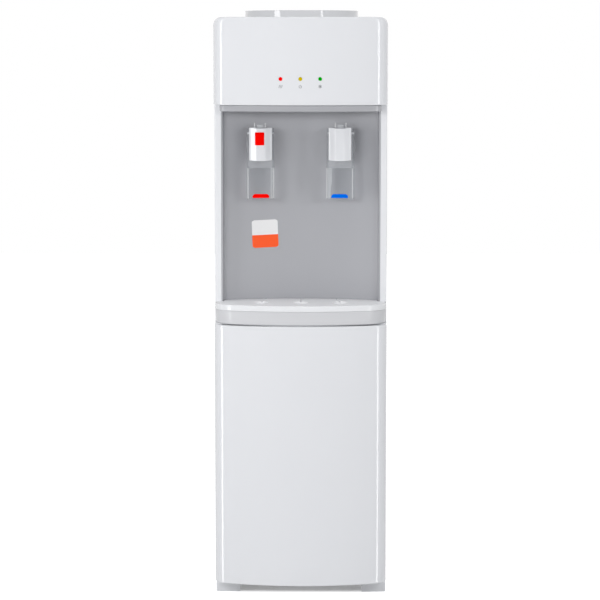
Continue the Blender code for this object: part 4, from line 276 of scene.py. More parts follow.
# The less clear finishes read brighter than the clear plastic. On the lever's rear edges, corner lines, wall
# bands and hazy plate they are painted highlights for the light in thick clear walls; the cap's posts and
# plate use them too.
CLEAR_EDGE = Finish("clear_plastic_edge", (0.84, 0.86, 0.88), (0.80, 0.82, 0.84), (0.12, 0.2), clear=0.50)
CLEAR_HAZE = Finish(
    "clear_plastic_haze", (0.82, 0.84, 0.86), (0.76, 0.78, 0.80), (0.2, 0.3), clear=0.84, specular=0.3
)
CLEAR_TIP = Finish("clear_plastic_tip", (0.88, 0.89, 0.90), (0.84, 0.85, 0.86), (0.12, 0.2), clear=0.25)
# The glow on the red and blue inserts is painted light that brightens them; the pads and the lock button are
# no lamps, and the hot switch's rocker shares the red finish.
RED = Finish("red_insert", (0.95, 0.002, 0.0), (0.88, 0.001, 0.0), (0.22, 0.32), glow=0.1, specular=0.02)
BLUE = Finish("blue_insert", (0.0, 0.155, 0.82), (0.0, 0.135, 0.76), (0.22, 0.32), glow=0.05, specular=0.02)
RED_LENS = Finish(
    "red_lens", (0.80, 0.001, 0.001), (0.72, 0.001, 0.001), (0.12, 0.2), glow=0.25, specular=0.04
)
YELLOW_LENS = Finish(
    "yellow_lens", (0.56, 0.43, 0.0), (0.50, 0.38, 0.0), (0.12, 0.2), glow=0.12, specular=0.04
)
GREEN_LENS = Finish(
    "green_lens", (0.0, 0.36, 0.003), (0.0, 0.32, 0.002), (0.12, 0.2), glow=0.12, specular=0.04
)
ICON_GREY = Finish("icon_print", (0.22, 0.225, 0.235), (0.19, 0.195, 0.20), (0.5, 0.6))
STICKER_WHITE = Finish("sticker_white", (0.90, 0.90, 0.90), (0.87, 0.87, 0.87), (0.35, 0.45))
# The sticker's red half glows a little: painted light, since the sticker is no lamp.
STICKER_RED = Finish(
    "sticker_red", (0.98, 0.12, 0.035), (0.94, 0.11, 0.03), (0.35, 0.45), glow=0.1, specular=0.1
)
BLACK = Finish("black_nylon", (0.022, 0.022, 0.024), (0.030, 0.030, 0.032), (0.42, 0.58), Grain.PITTED, 0.1)
RUBBER = Finish("black_rubber", (0.016, 0.016, 0.016), (0.024, 0.024, 0.024), (0.65, 0.8), Grain.PITTED, 0.2)
ENAMEL = Finish("black_enamel", (0.020, 0.020, 0.022), (0.028, 0.028, 0.030), (0.28, 0.40), Grain.PEEL, 0.1)
STEEL = Finish(
    "stainless_steel", (0.58, 0.59, 0.60), (0.52, 0.53, 0.54), (0.25, 0.38), Grain.BRUSHED, 0.08, 1.0
)
ZINC = Finish("zinc_sheet", (0.50, 0.52, 0.53), (0.42, 0.44, 0.46), (0.38, 0.55), Grain.PITTED, 0.06, 1.0)
COPPER = Finish("copper_tube", (0.70, 0.34, 0.20), (0.58, 0.26, 0.15), (0.28, 0.42), Grain.BRUSHED, 0.06, 1.0)
FOAM = Finish("foam", (0.030, 0.030, 0.032), (0.05, 0.05, 0.052), (0.85, 0.95), Grain.PITTED, 0.4)
BOARD = Finish("circuit_board", (0.015, 0.12, 0.04), (0.02, 0.15, 0.05), (0.4, 0.5))
SILICONE = Finish("milky_silicone", (0.70, 0.71, 0.69), (0.64, 0.65, 0.63), (0.35, 0.45))
GREEN = Finish("green_rocker", (0.01, 0.33, 0.07), (0.01, 0.28, 0.06), (0.25, 0.35))
FLOOR_PAPER = Finish("floor_paper", (0.86, 0.86, 0.86), (0.84, 0.84, 0.84), (0.7, 0.8), specular=0.1)


@dataclass
class Patch:
    """One surface as points, faces and the slot number of its finish."""

    points: np.ndarray
    faces: list[tuple[int, ...]]
    slot: int = 0

    def moved(self, matrix: Matrix) -> "Patch":
        """Turns and shifts the patch.

        Args:
            matrix: the 4 by 4 matrix to apply.

        Returns:
            A new patch.
        """
        turn = np.array(matrix.to_3x3())
        shift = np.array(matrix.translation)
        return Patch(self.points @ turn.T + shift, self.faces, self.slot)


def grid_faces(rows: int, columns: int, closed: bool = False) -> list[tuple[int, ...]]:
    """Lists the quads of a grid of points.

    Args:
        rows: number of rows.
        columns: points in each row.
        closed: whether each row joins its own start.

    Returns:
        Quads as tuples of point numbers.
    """
    r, c = np.meshgrid(np.arange(rows - 1), np.arange(columns if closed else columns - 1), indexing="ij")
    a = r * columns + c
    b = r * columns + (c + 1) % columns
    quads = np.stack([a, b, b + columns, a + columns], axis=-1).reshape(-1, 4)
    return [tuple(quad) for quad in quads.tolist()]


def stack(outlines: list[np.ndarray], heights: np.ndarray, closed: bool, caps: tuple[bool, bool]) -> Patch:
    """Skins level outlines into one patch: point (i, j) is outline i's point j at height i.

    Args:
        outlines: plan outlines with equal numbers of points.
        heights: the height of each outline.
        closed: whether outlines join their own start.
        caps: whether the first and the last outline are filled.

    Returns:
        The patch.
    """
    rows = len(outlines)
    columns = len(outlines[0])
    faces = grid_faces(rows, columns, closed)
    if caps[0]:
        faces.append(tuple(reversed(range(columns))))
    if caps[1]:
        faces.append(tuple(range((rows - 1) * columns, rows * columns)))
    return Patch(np.column_stack([np.concatenate(outlines), np.repeat(heights, columns)]), faces)


def turned(radii: np.ndarray, depths: np.ndarray, steps: int, centre: tuple[float, float]) -> Patch:
    """Turns a profile about a level axis: x = centre + r cos a, y = depth, z = centre + r sin a.

    Args:
        radii: radius of each ring.
        depths: depth of each ring.
        steps: points on a ring.
        centre: sideways place and height of the axis.

    Returns:
        The patch, filled at its first ring.
    """
    angle = full_turn(steps)
    x = centre[0] + np.outer(radii, np.cos(angle))
    z = centre[1] + np.outer(radii, np.sin(angle))
    points = np.column_stack([x.ravel(), np.repeat(depths, steps), z.ravel()])
    return Patch(points, grid_faces(len(radii), steps, True) + [tuple(range(steps))])


def arc(centre: Sequence[float], radius: float, start: float, end: float, count: int) -> np.ndarray:
    """Samples an arc evenly from one angle to another: centre + radius (cos, sin) of the angle."""
    angle = np.linspace(start, end, count)
    return np.column_stack([centre[0] + radius * np.cos(angle), centre[1] + radius * np.sin(angle)])


def full_turn(count: int) -> np.ndarray:
    """Gives even angles in radians round a full turn, without its end."""
    return np.linspace(0.0, math.tau, count + 1)[:-1]


def bow_shares(fine: int, close: tuple[float, ...], reach: float = 0.03) -> np.ndarray:
    """Gives places along the bow from 0 to 1, set closer together round chosen shares."""
    extra = [np.linspace(share - reach, share + reach, REFINED_STEPS) for share in close]
    return np.unique(np.round(np.concatenate([np.linspace(0.0, 1.0, fine), *extra]), SHARE_DIGITS))


def bowed(
    half: float,
    front_y: float,
    back_y: float,
    radius: float,
    corner: float,
    fine: int = 97,
    close: tuple[float, ...] = (),
) -> np.ndarray:
    """Samples the bowed plan line from the back right, round the front, to the back left.

    The bow is an arc about a point behind its middle. A corner arc touches the bow from inside
    and ends where it is parallel to the straight side.

    Args:
        half: half width.
        front_y: depth of the middle of the bow.
        back_y: depth of both ends.
        radius: radius of the bow.
        corner: radius that joins the bow to the straight sides.
        fine: points on the bow.
        close: sideways places round which the points go closer together.

    Returns:
        Points, one a row.
    """
    corner = max(corner, SMALLEST_CORNER)
    centre_y = front_y + radius
    corner_x = half - corner
    corner_y = centre_y - math.sqrt((radius - corner) ** 2 - corner_x**2)
    turn = math.asin(corner_x / (radius - corner)) - math.pi / 2
    right = arc((corner_x, corner_y), corner, 0.0, turn, CORNER_STEPS)
    sweep = -math.pi - 2 * turn
    marks = tuple((-math.pi / 2 + math.asin(x / radius) - turn) / sweep for x in close)
    angle = turn + sweep * bow_shares(fine, marks)[1:-1]
    front = np.column_stack([radius * np.cos(angle), centre_y + radius * np.sin(angle)])
    left = right[::-1] * (-1.0, 1.0)
    return np.vstack([[half, back_y], right, front, left, [-half, back_y]])


def bow_y(x: np.ndarray | float) -> np.ndarray | float:
    """Depth of the bowed front at a sideways place: y = front + R - sqrt(R^2 - x^2)."""
    return FRONT_Y + BOW_RADIUS - np.sqrt(BOW_RADIUS**2 - np.square(x))


def drawn_in(distance: np.ndarray, radius: float) -> np.ndarray:
    """How far a quarter-round edge draws in at a distance from its end: r - sqrt(r^2 - (r-d)^2)."""
    reach = np.clip(radius - distance, 0.0, radius)
    return radius - np.sqrt(np.maximum(radius**2 - reach**2, 0.0))


def end_levels(radius: float, count: int = EDGE_STEPS) -> np.ndarray:
    """Distances from an end at even angles round a quarter-round edge: r (1 - cos a)."""
    return radius * (1.0 - np.cos(np.linspace(0.0, math.pi / 2, count)))


def merged_levels(*groups: np.ndarray) -> np.ndarray:
    """Merges groups of levels into one rising list without doubles."""
    return np.unique(np.round(np.concatenate(groups), LEVEL_DIGITS))


def smooth_step(share: np.ndarray) -> np.ndarray:
    """Eases a share from 0 to 1: s^2 (3 - 2 s), with s held between 0 and 1."""
    held = np.clip(share, 0.0, 1.0)
    return held**2 * (3 - 2 * held)


def make(
    name: str,
    patches: list[Patch],
    finishes: list[Finish],
    body: Body,
    replaces: tuple[str, ...] = (),
    sharp: float = 32.0,
) -> None:
    """Makes one finished piece from patches and lets it ride on the frame.

    Args:
        name: name of the piece.
        patches: its surfaces, in world metres.
        finishes: its finishes in slot order.
        body: the body it rides on.
        replaces: frame nodes it stands for.
        sharp: angle in degrees over which edges stay crisp.
    """
    points = np.concatenate([patch.points for patch in patches])
    faces: list[tuple[int, ...]] = []
    slots: list[int] = []
    start = 0
    for patch in patches:
        faces += [tuple(i + start for i in face) for face in patch.faces]
        slots += [patch.slot] * len(patch.faces)
        start += len(patch.points)
    mesh = bpy.data.meshes.new(name)
    mesh.from_pydata(points.tolist(), [], faces)
    mesh.polygons.foreach_set("material_index", slots)
    for finish in finishes:
        mesh.materials.append(finish.build())
    mesh.shade_smooth()
    mesh.set_sharp_from_angle(angle=math.radians(sharp))
    mesh.update()
    item = bpy.data.objects.new(name, mesh)
    bpy.context.scene.collection.objects.link(item)
    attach(item, body.value)
    if replaces:
        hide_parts(*replaces)
    LOG.info("made %s: %d points, %d faces", name, len(points), len(faces))


@dataclass
class BowedShell:
    """A hollow moulding with a bowed front, open at its flat back.

    The outer skin stacks bowed outlines; near each end the outline is drawn in by the edge
    rounding, and near the top also sideways by the shoulder. The inner skin is the same
    surface one wall smaller, and a rim joins the two at the back.
    """

    name: str
    low: float
    high: float
    back_y: float
    body: Body
    replaces: str
    shoulder: float = 0.0
    seats: tuple[tuple[float, float], ...] = ()
    edge: float = 0.002
    edge_steps: int = 8
    shoulder_steps: int = 16
    plain_steps: int = 12
    seat_reach: float = 0.0042
    seat_steps: int = 43

    def levels(self) -> np.ndarray:
        """Gives the levels, closer together at the ends, the shoulder and the lamps' seats.

        Returns:
            Distances from the bottom.
        """
        height = self.high - self.low
        ends = end_levels(self.edge, self.edge_steps)
        groups = [ends, height - ends, np.linspace(0, height, self.plain_steps)]
        if self.shoulder:
            groups.append(height - end_levels(self.shoulder, self.shoulder_steps))
        for _, z in self.seats[:1]:
            groups.append(np.linspace(z - self.seat_reach, z + self.seat_reach, self.seat_steps) - self.low)
        return merged_levels(*groups)

    def skin(self, inset: float) -> Patch:
        """Builds the skin at an inset from the outer face.

        Args:
            inset: distance inside the outer face.

        Returns:
            The patch.
        """
        from_low = self.levels()
        height = self.high - self.low
        scale = (height - 2 * inset) / height
        rounding = np.maximum(drawn_in(from_low, self.edge), drawn_in(height - from_low, self.edge))
        side = rounding
        if self.shoulder:
            side = np.maximum(rounding, drawn_in(height - from_low, self.shoulder))
        outlines = [
            bowed(
                HALF_WIDTH - SKIN - inset - s,
                FRONT_Y + SKIN + inset + r,
                self.back_y,
                BOW_RADIUS - SKIN - inset - r,
                CORNER_RADIUS - inset,
                close=tuple(x for x, _ in self.seats),
            )
            for s, r in zip(side, rounding)
        ]
        return stack(outlines, self.low + inset + from_low * scale, False, (True, True))

    def seated(self, patch: Patch) -> Patch:
        """Sinks a round seat for each lamp: y grows by depth * smooth_step((R - r) / edge + 1).

        Args:
            patch: the outer skin.

        Returns:
            The same patch.
        """
        for x, z in self.seats:
            away = np.hypot(patch.points[:, 0] - x, patch.points[:, 2] - z)
            patch.points[:, 1] += SEAT_DEPTH * smooth_step((SEAT_RADIUS - away) / SEAT_EDGE + 1.0)
        return patch

    def build(self) -> None:
        """Builds the piece."""
        outer = self.seated(self.skin(0.0))
        inner = self.skin(WALL)
        rows = len(self.levels())
        count = len(outer.points)
        columns = count // rows
        first = np.arange(rows) * columns
        last = first + columns - 1
        pairs = [*zip(first, first[1:]), *zip(last, last[1:]), (first[0], last[0]), (first[-1], last[-1])]
        faces = [(int(a), int(b), int(b) + count, int(a) + count) for a, b in pairs]
        rim = Patch(np.vstack([outer.points, inner.points]), faces)
        make(self.name, [outer, inner, rim], [GLOSS_WHITE], self.body, (self.replaces,))


@dataclass
class Head:
    """Bowed head with its lamps and the small marks under them."""

    mark_height: float = 0.8642
    stroke_half: float = 0.00034
    print_lift: float = 0.00012
    lens_rise: float = 0.0006
    lens_skirt: float = 0.0006
    lens_depth: float = 0.004
    seat_share: float = 0.75
    lens_steps: int = 32
    dome_steps: int = 8
    wave_pitch: float = 0.0022
    wave_reach: float = 0.0006
    wave_height: float = 0.0050
    wave_steps: int = 15
    ring_radius: float = 0.0022
    ring_drop: float = 0.0003
    ring_opening: float = math.radians(70)
    ring_steps: int = 25
    stroke_foot: float = 0.0001
    arm_length: float = 0.0027
    arm_count: int = 6
    barb_place: float = 0.0024
    barb_root: float = 0.0015
    barb_reach: float = 0.0008

    def build(self) -> None:
        """Builds the head, the lamp lenses and the marks."""
        places = (-LAMP_PITCH, 0.0, LAMP_PITCH)
        seats = tuple((x, LAMP_HEIGHT) for x in places)
        shell = BowedShell(
            "head_shell", HEAD_BOTTOM, HEAD_TOP, MODULE_BACK_Y, Body.CASE, "head_fascia", SHOULDER, seats
        )
        shell.build()
        lamps = (
            ("hot_lamp", RED_LENS, "red"),
            ("power_lamp", YELLOW_LENS, "yellow"),
            ("cold_lamp", GREEN_LENS, "green"),
        )
        for x, (name, finish, slot) in zip(places, lamps):
            self.lens(name, x, finish, slot)
        self.mark("steam_mark", -LAMP_PITCH, self.steam_strokes())
        self.mark("power_mark", 0.0, self.power_strokes())
        self.mark("snow_mark", LAMP_PITCH, self.snow_strokes())

    def lens(self, name: str, x: float, finish: Finish, slot: str) -> None:
        """Builds a lamp lens: a dome that rises by h (1 - r^2 / R^2), on a short cylinder.

        Args:
            name: the frame node it stands for.
            x: sideways place.
            finish: its finish.
            slot: the record's material slot; not used.
        """
        face = float(bow_y(x)) + SKIN + SEAT_DEPTH * self.seat_share
        share = np.linspace(0.0, 1.0, self.dome_steps + 1)[1:]
        radii = LAMP_RADIUS * np.concatenate([share, [1.0, 1.0]])
        rise = np.concatenate([self.lens_rise * (1 - share**2), [-self.lens_skirt, -self.lens_depth]])
        lens = turned(radii, face - rise, self.lens_steps, (x, LAMP_HEIGHT))
        make(name + "_lens", [lens], [finish], Body.CASE, (name,))

    def steam_strokes(self) -> list[np.ndarray]:
        """Gives three wavy strokes: x = a sin(2 pi t), z = t height.

        Returns:
            Centre lines in metres about the mark's middle.
        """
        t = np.linspace(-0.5, 0.5, self.wave_steps)
        wave = self.wave_reach * np.sin(math.tau * t)
        return [np.column_stack([i * self.wave_pitch + wave, self.wave_height * t]) for i in (-1, 0, 1)]

    def power_strokes(self) -> list[np.ndarray]:
        """Gives a ring that is open at the top and an upright stroke.

        Returns:
            Centre lines in metres about the mark's middle.
        """
        start = (math.pi + self.ring_opening) / 2
        end = start + math.tau - self.ring_opening
        ring = arc((0.0, -self.ring_drop), self.ring_radius, start, end, self.ring_steps)
        return [ring, np.array([[0.0, -self.stroke_foot], [0.0, self.arm_length]])]

    def snow_strokes(self) -> list[np.ndarray]:
        """Gives six arms with a short barb on each.

        Returns:
            Centre lines in metres about the mark's middle.
        """
        strokes = []
        for angle in math.pi / 2 + full_turn(self.arm_count):
            way = np.array([math.cos(angle), math.sin(angle)])
            side = np.array([-way[1], way[0]]) * self.barb_reach
            tip = way * self.barb_place
            strokes.append(np.array([way * 0.0, way * self.arm_length]))
            strokes.append(np.array([tip + side, way * self.barb_root, tip - side]))
        return strokes

    def mark(self, name: str, x: float, strokes: list[np.ndarray]) -> None:
        """Lays a printed mark of thin ribbons on the bowed face.

        Args:
            name: name of the piece.
            x: sideways place.
            strokes: centre lines about the mark's middle.
        """
        patches = []
        for line in strokes:
            ahead = np.gradient(line, axis=0)
            ahead /= np.linalg.norm(ahead, axis=1, keepdims=True)
            side = np.column_stack([-ahead[:, 1], ahead[:, 0]]) * self.stroke_half
            edges = np.stack([line + side, line - side], axis=1).reshape(-1, 2)
            y = bow_y(edges[:, 0] + x) + SKIN - self.print_lift
            points = np.column_stack([edges[:, 0] + x, y, self.mark_height + edges[:, 1]])
            patches.append(Patch(points, grid_faces(len(line), 2)))
        make(name, patches, [ICON_GREY], Body.CASE)


def station_line(front_half: float, front_y: float, corner: float, rear_half: float) -> np.ndarray:
    """Closed plan of a piece that fills the recess and bows out ahead of the case.

    Args:
        front_half: half width ahead of the case.
        front_y: depth of the middle of the front.
        corner: radius of the front corners.
        rear_half: half width inside the recess.

    Returns:
        Points, one a row.
    """
    front = bowed(front_half, front_y, MODULE_BACK_Y, BOW_RADIUS - (front_y - FRONT_Y), corner)
    gap = RECESS_HALF - rear_half
    rear = bowed(rear_half, -RECESS_BACK_Y + gap, -MODULE_BACK_Y, RECESS_RADIUS - gap, RECESS_CORNER)
    return np.vstack([front, rear * (-1.0, -1.0)])


def tap_turn(sign: int) -> Matrix:
    """Turn about a tap's barrel to face the middle, for sign -1 (hot) or 1 (cold)."""
    about = Matrix.Translation((sign * TAP_X, BARREL_Y, 0.0))
    return about @ Matrix.Rotation(-sign * TAP_TURN, 4, "Z") @ about.inverted()


@dataclass
class Recess:
    """Concave grey panel with its bosses, the hood over it and the blank two-tone sticker."""

    wall: float = 0.0022
    bow_steps: int = 121
    rows: int = 24
    boss_radius: float = 0.021
    boss_front_y: float = -0.062
    boss_rear_y: float = -0.049
    boss_soft: float = 0.0012
    boss_soft_steps: int = 6
    boss_steps: int = 64
    hood_bottom: float = 0.8225
    hood_half: float = 0.1345
    hood_front_y: float = -0.159
    hood_corner: float = 0.010
    hood_edge: float = 0.0016
    sticker_middle: tuple[float, float] = (-0.0612, 0.6125)
    sticker_half: tuple[float, float] = (0.0220, 0.0236)
    sticker_corner: float = 0.004
    sticker_tilt: float = math.radians(2.2)
    sticker_lift: float = 0.0003
    sticker_split_share: float = -0.08
    sticker_steps: tuple[int, int, int] = (29, 14, 16)

    def build(self) -> None:
        """Builds the panel, the hood and the sticker."""
        self.panel()
        self.hood()
        self.sticker()

    def panel_line(self, offset: float) -> np.ndarray:
        """Plan of the panel at an offset from its visible face.

        Args:
            offset: distance behind the face.

        Returns:
            Points, one a row.
        """
        line = bowed(
            RECESS_HALF + offset,
            -RECESS_BACK_Y - offset,
            -CASE_FRONT_Y,
            RECESS_RADIUS + offset,
            RECESS_CORNER + offset,
            self.bow_steps,
        )
        return line * (1.0, -1.0)

    def panel(self) -> None:
        """Builds the panel: its plan, face and rear, carried straight up and closed at both ends."""
        face = self.panel_line(0.0)
        ring = np.vstack([face, self.panel_line(self.wall)[::-1]])
        heights = np.linspace(RECESS_BOTTOM, RECESS_TOP, self.rows)
        total = len(ring)
        across = [(i, i + 1, total - 2 - i, total - 1 - i) for i in range(len(face) - 1)]
        patches = [stack([ring] * self.rows, heights, True, (False, False))]
        for height in (RECESS_BOTTOM, RECESS_TOP):
            patches.append(Patch(np.column_stack([ring, np.full(total, height)]), across))
        patches += [self.boss(sign) for sign in (-1, 1)]
        make("recess_skin", patches, [SATIN_GREY], Body.CASE, ("recess_panel",))

    def boss(self, sign: int) -> Patch:
        """Builds a tap's round boss with a softened edge.

        Args:
            sign: -1 for the hot side and 1 for the cold side.

        Returns:
            The patch.
        """
        soft = self.boss_soft
        turn = np.linspace(0.0, math.pi / 2, self.boss_soft_steps)
        radii = np.append(self.boss_radius - soft + soft * np.sin(turn), self.boss_radius)
        depths = np.append(self.boss_front_y + soft - soft * np.cos(turn), self.boss_rear_y)
        boss = turned(radii, depths, self.boss_steps, (sign * TAP_X, SHANK_HEIGHT))
        return boss.moved(tap_turn(sign))

    def hood(self) -> None:
        """Builds the grey band under the head: bowed outline with rounded lower and upper edges."""
        height = RECESS_TOP - self.hood_bottom
        ends = end_levels(self.hood_edge)
        from_low = np.unique(np.concatenate([ends, height - ends]))
        inset = np.maximum(drawn_in(from_low, self.hood_edge), drawn_in(height - from_low, self.hood_edge))
        rear_half = RECESS_HALF - MODULE_GAP
        outlines = [
            station_line(self.hood_half - i, self.hood_front_y + i, self.hood_corner - i, rear_half - i)
            for i in inset
        ]
        skin = stack(outlines, self.hood_bottom + from_low, True, (True, True))
        make("hood_skin", [skin], [HOOD_GREY], Body.CASE, ("recess_hood",))

    def sticker(self) -> None:
        """Lays the sticker: a rounded square bent to the face y = back - R + sqrt(R^2 - x^2)."""
        half_x, half_z = self.sticker_half
        across, lower, upper = self.sticker_steps
        split = self.sticker_split_share
        cos, sin = math.cos(self.sticker_tilt), math.sin(self.sticker_tilt)
        u = np.linspace(-1, 1, across)
        patches = []
        for slot, rows in ((1, np.linspace(-1, split, lower)), (0, np.linspace(split, 1, upper))):
            span = half_x - drawn_in((1 - np.abs(rows)) * half_z, self.sticker_corner)
            flat_x = span[:, None] * u[None, :]
            flat_z = np.repeat(rows[:, None] * half_z, across, axis=1)
            x = self.sticker_middle[0] + flat_x * cos - flat_z * sin
            z = self.sticker_middle[1] + flat_x * sin + flat_z * cos
            y = RECESS_BACK_Y - RECESS_RADIUS + np.sqrt(RECESS_RADIUS**2 - x**2) - self.sticker_lift
            points = np.stack([x, y, z], axis=-1).reshape(-1, 3)
            patches.append(Patch(points, grid_faces(len(rows), across), slot))
        make("blank_sticker", patches, [STICKER_WHITE, STICKER_RED], Body.CASE)


@dataclass
class Station:
    """Drip tray and its lift-off cover."""

    edge: float = 0.002
    corner: float = 0.044
    rear_clearance: float = 0.0012
    cover_bottom: float = 0.4913
    cover_top: float = 0.5011
    skirt_foot: float = 0.0005
    cover_sharp: float = 40.0
    rear_share: float = 0.25
    drain_pitch: float = 0.066
    drain_y: float = -0.115
    dish_half: tuple[float, float] = (0.0125, 0.0190)
    dish_depth: float = 0.0044
    dish_wall_share: float = 0.34
    rim_rise: float = 0.0006
    rim_shares: tuple[float, float] = (1.06, 0.05)
    groove_depth: float = 0.0022
    groove_half: float = 0.0013
    groove_start_share: float = 0.9
    groove_lean_share: float = 0.92
    groove_end_gap: float = 0.0024
    groove_end_step: float = 0.009
    groove_blend: float = 0.0006
    columns: tuple[int, int] = (8, 321)
    depth_steps: int = 141
    under_half: float = 0.1258
    under_front_gap: float = 0.004
    under_corner: float = 0.030
    under_drop: float = 0.0052
    tray_bottom: float = 0.4680
    tray_top: float = 0.4910
    tray_gap: float = 0.0006
    tray_taper: float = 0.0016
    tray_rear_share: float = 0.3
    tray_edge_steps: int = 8
    rim_height: float = 0.0006
    rim_in: float = 0.0004
    basin_half: float = 0.1280
    basin_front_gap: float = 0.0042
    basin_corner: float = 0.0320
    basin_floor: float = 0.0022

    def build(self) -> None:
        """Builds the cover and the tray."""
        self.cover()
        self.tray()

    def lines(self, insets: np.ndarray, rear_share: float) -> list[np.ndarray]:
        """Plans of the station drawn in all round.

        Args:
            insets: how far each plan is drawn in.
            rear_share: share of the inset that the rear takes.

        Returns:
            One closed plan for each inset.
        """
        rear_half = RECESS_HALF - self.rear_clearance
        half = HALF_WIDTH - SKIN
        front_y = FRONT_Y + SKIN
        return [
            station_line(half - i, front_y + i, self.corner - i, rear_half - i * rear_share) for i in insets
        ]

    def height(self, x: np.ndarray, y: np.ndarray) -> np.ndarray:
        """Height of the cover's top: flat, less smooth oval dishes and narrow grooves.

        A dish falls by depth * smooth_step((1 - rho) / wall share) inside its oval rho < 1, and
        a thin rim rises round it by rise * exp(-((rho - place) / width)^2). A groove falls by
        depth * exp(-(d / half)^4) at a distance d from its line.

        Args:
            x: sideways places.
            y: depths.

        Returns:
            Heights.
        """
        z = np.full_like(x, self.cover_top)
        rim_place, rim_width = self.rim_shares
        for i in (-1, 0, 1):
            middle = i * self.drain_pitch
            rho = np.hypot((x - middle) / self.dish_half[0], (y - self.drain_y) / self.dish_half[1])
            z -= self.dish_depth * smooth_step((1.0 - rho) / self.dish_wall_share)
            z += self.rim_rise * np.exp(-(((rho - rim_place) / rim_width) ** 2))
            start = np.array([middle, self.drain_y + self.dish_half[1] * self.groove_start_share])
            end_y = RECESS_BACK_Y - self.groove_end_gap - abs(i) * self.groove_end_step
            run = np.array([middle * self.groove_lean_share, end_y]) - start
            run /= np.linalg.norm(run)
            along = (x - start[0]) * run[0] + (y - start[1]) * run[1]
            away = (x - start[0]) * run[1] - (y - start[1]) * run[0]
            inside = 1.0 / (1.0 + np.exp(-along / self.groove_blend))
            z -= self.groove_depth * inside * np.exp(-((away / self.groove_half) ** 4))
        return z

    def top(self, rim: np.ndarray, inset: float) -> Patch:
        """Builds the cover's top as a height over a grid of lines from the front to the rear.

        Args:
            rim: the plan of the skirt's upper end.
            inset: how far that plan is drawn in.

        Returns:
            The patch.
        """
        inner_half = RECESS_HALF - self.rear_clearance - inset * self.rear_share
        outer = np.linspace(inner_half, HALF_WIDTH - SKIN - inset, self.columns[0])
        middle = np.linspace(-inner_half, inner_half, self.columns[1])
        columns = np.concatenate([-outer[::-1], middle, outer])
        front_line, rear_line = np.split(rim, 2)
        front = np.interp(columns, front_line[::-1, 0], front_line[::-1, 1])
        rear = np.interp(columns, rear_line[:, 0], rear_line[:, 1])
        rear[: len(outer)] = MODULE_BACK_Y
        rear[-len(outer) :] = MODULE_BACK_Y
        share = np.linspace(0.0, 1.0, self.depth_steps)
        x = np.repeat(columns[:, None], len(share), axis=1)
        y = front[:, None] + (rear - front)[:, None] * share[None, :]
        points = np.stack([x, y, self.height(x, y)], axis=-1).reshape(-1, 3)
        return Patch(points, grid_faces(len(columns), len(share)), 1)

    def cover(self) -> None:
        """Builds the cover: a rounded skirt, its top and the hollow under it."""
        height = self.cover_top - self.cover_bottom
        plain = np.array([0.0, self.skirt_foot, height / 2])
        from_low = np.unique(np.concatenate([plain, height - end_levels(self.edge)]))
        inset = drawn_in(height - from_low, self.edge)
        lines = self.lines(inset, self.rear_share)
        skirt = stack(lines, self.cover_bottom + from_low, True, (False, False))
        under_y = FRONT_Y + self.under_front_gap
        under_line = station_line(self.under_half, under_y, self.under_corner, self.under_half)
        under_levels = np.array([self.cover_bottom, self.cover_top - self.under_drop])
        under = stack([under_line, under_line], under_levels, True, (False, True))
        count = len(under_line)
        foot = Patch(np.vstack([skirt.points[:count], under.points[:count]]), grid_faces(2, count, True))
        patches = [skirt, self.top(lines[-1], inset[-1]), under, foot]
        # The top's lighter finish is painted light on the cover's top face.
        finishes = [COVER_WHITE, COVER_TOP_WHITE]
        sharp = self.cover_sharp
        make("drip_cover_skin", patches, finishes, Body.COVER, ("drip_cover",), sharp)

    def tray(self) -> None:
        """Builds the tapered tray: outer skin, thin rim and the basin inside."""
        height = self.tray_top - self.tray_bottom
        ends = end_levels(self.edge, self.tray_edge_steps)
        from_low = np.unique(np.concatenate([ends, [height / 2, height - self.rim_height, height]]))
        inset = self.tray_gap + self.tray_taper * (1 - from_low / height) + drawn_in(from_low, self.edge)
        inset[-1] += self.rim_in
        basin_y = FRONT_Y + self.basin_front_gap
        basin = station_line(self.basin_half, basin_y, self.basin_corner, self.basin_half)
        lines = [*self.lines(inset, self.tray_rear_share), basin, basin]
        heights = self.tray_bottom + np.append(from_low, [height, self.basin_floor])
        skin = stack(lines, heights, True, (True, True))
        make("drip_tray_skin", [skin], [TRAY_WHITE], Body.TRAY, ("drip_tray",))


@dataclass
class TapPart:
    """A piece of one tap, built facing straight ahead and then turned with the tap."""

    side: str
    sign: int
    shift: float

    @property
    def lever_body(self) -> Body:
        """Moving body of the lever."""
        return Body.HOT_LEVER if self.sign < 0 else Body.COLD_LEVER

    @property
    def x(self) -> float:
        """Sideways place of the cap and lever."""
        return self.sign * TAP_X + self.shift

    def put(
        self, name: str, patches: list[Patch], finishes: list[Finish], body: Body, slot: str, replaces: str
    ) -> None:
        """Turns the patches with the tap and makes the piece that stands for a frame node."""
        turn = tap_turn(self.sign)
        make(name, [patch.moved(turn) for patch in patches], finishes, body, (replaces,))

    def slab(
        self, x: tuple[float, float], y: tuple[float, float], z: tuple[float, float], slot: int
    ) -> Patch:
        """Builds a plain box about the tap.

        Args:
            x: sideways places of its sides.
            y: depths of its front and back.
            z: heights of its bottom and top.
            slot: number of its finish.

        Returns:
            The patch.
        """
        outline = np.array([[x[0], y[0]], [x[1], y[0]], [x[1], y[1]], [x[0], y[1]]]) + (self.x, 0.0)
        patch = stack([outline, outline], np.array(z), True, (True, True))
        patch.slot = slot
        return patch


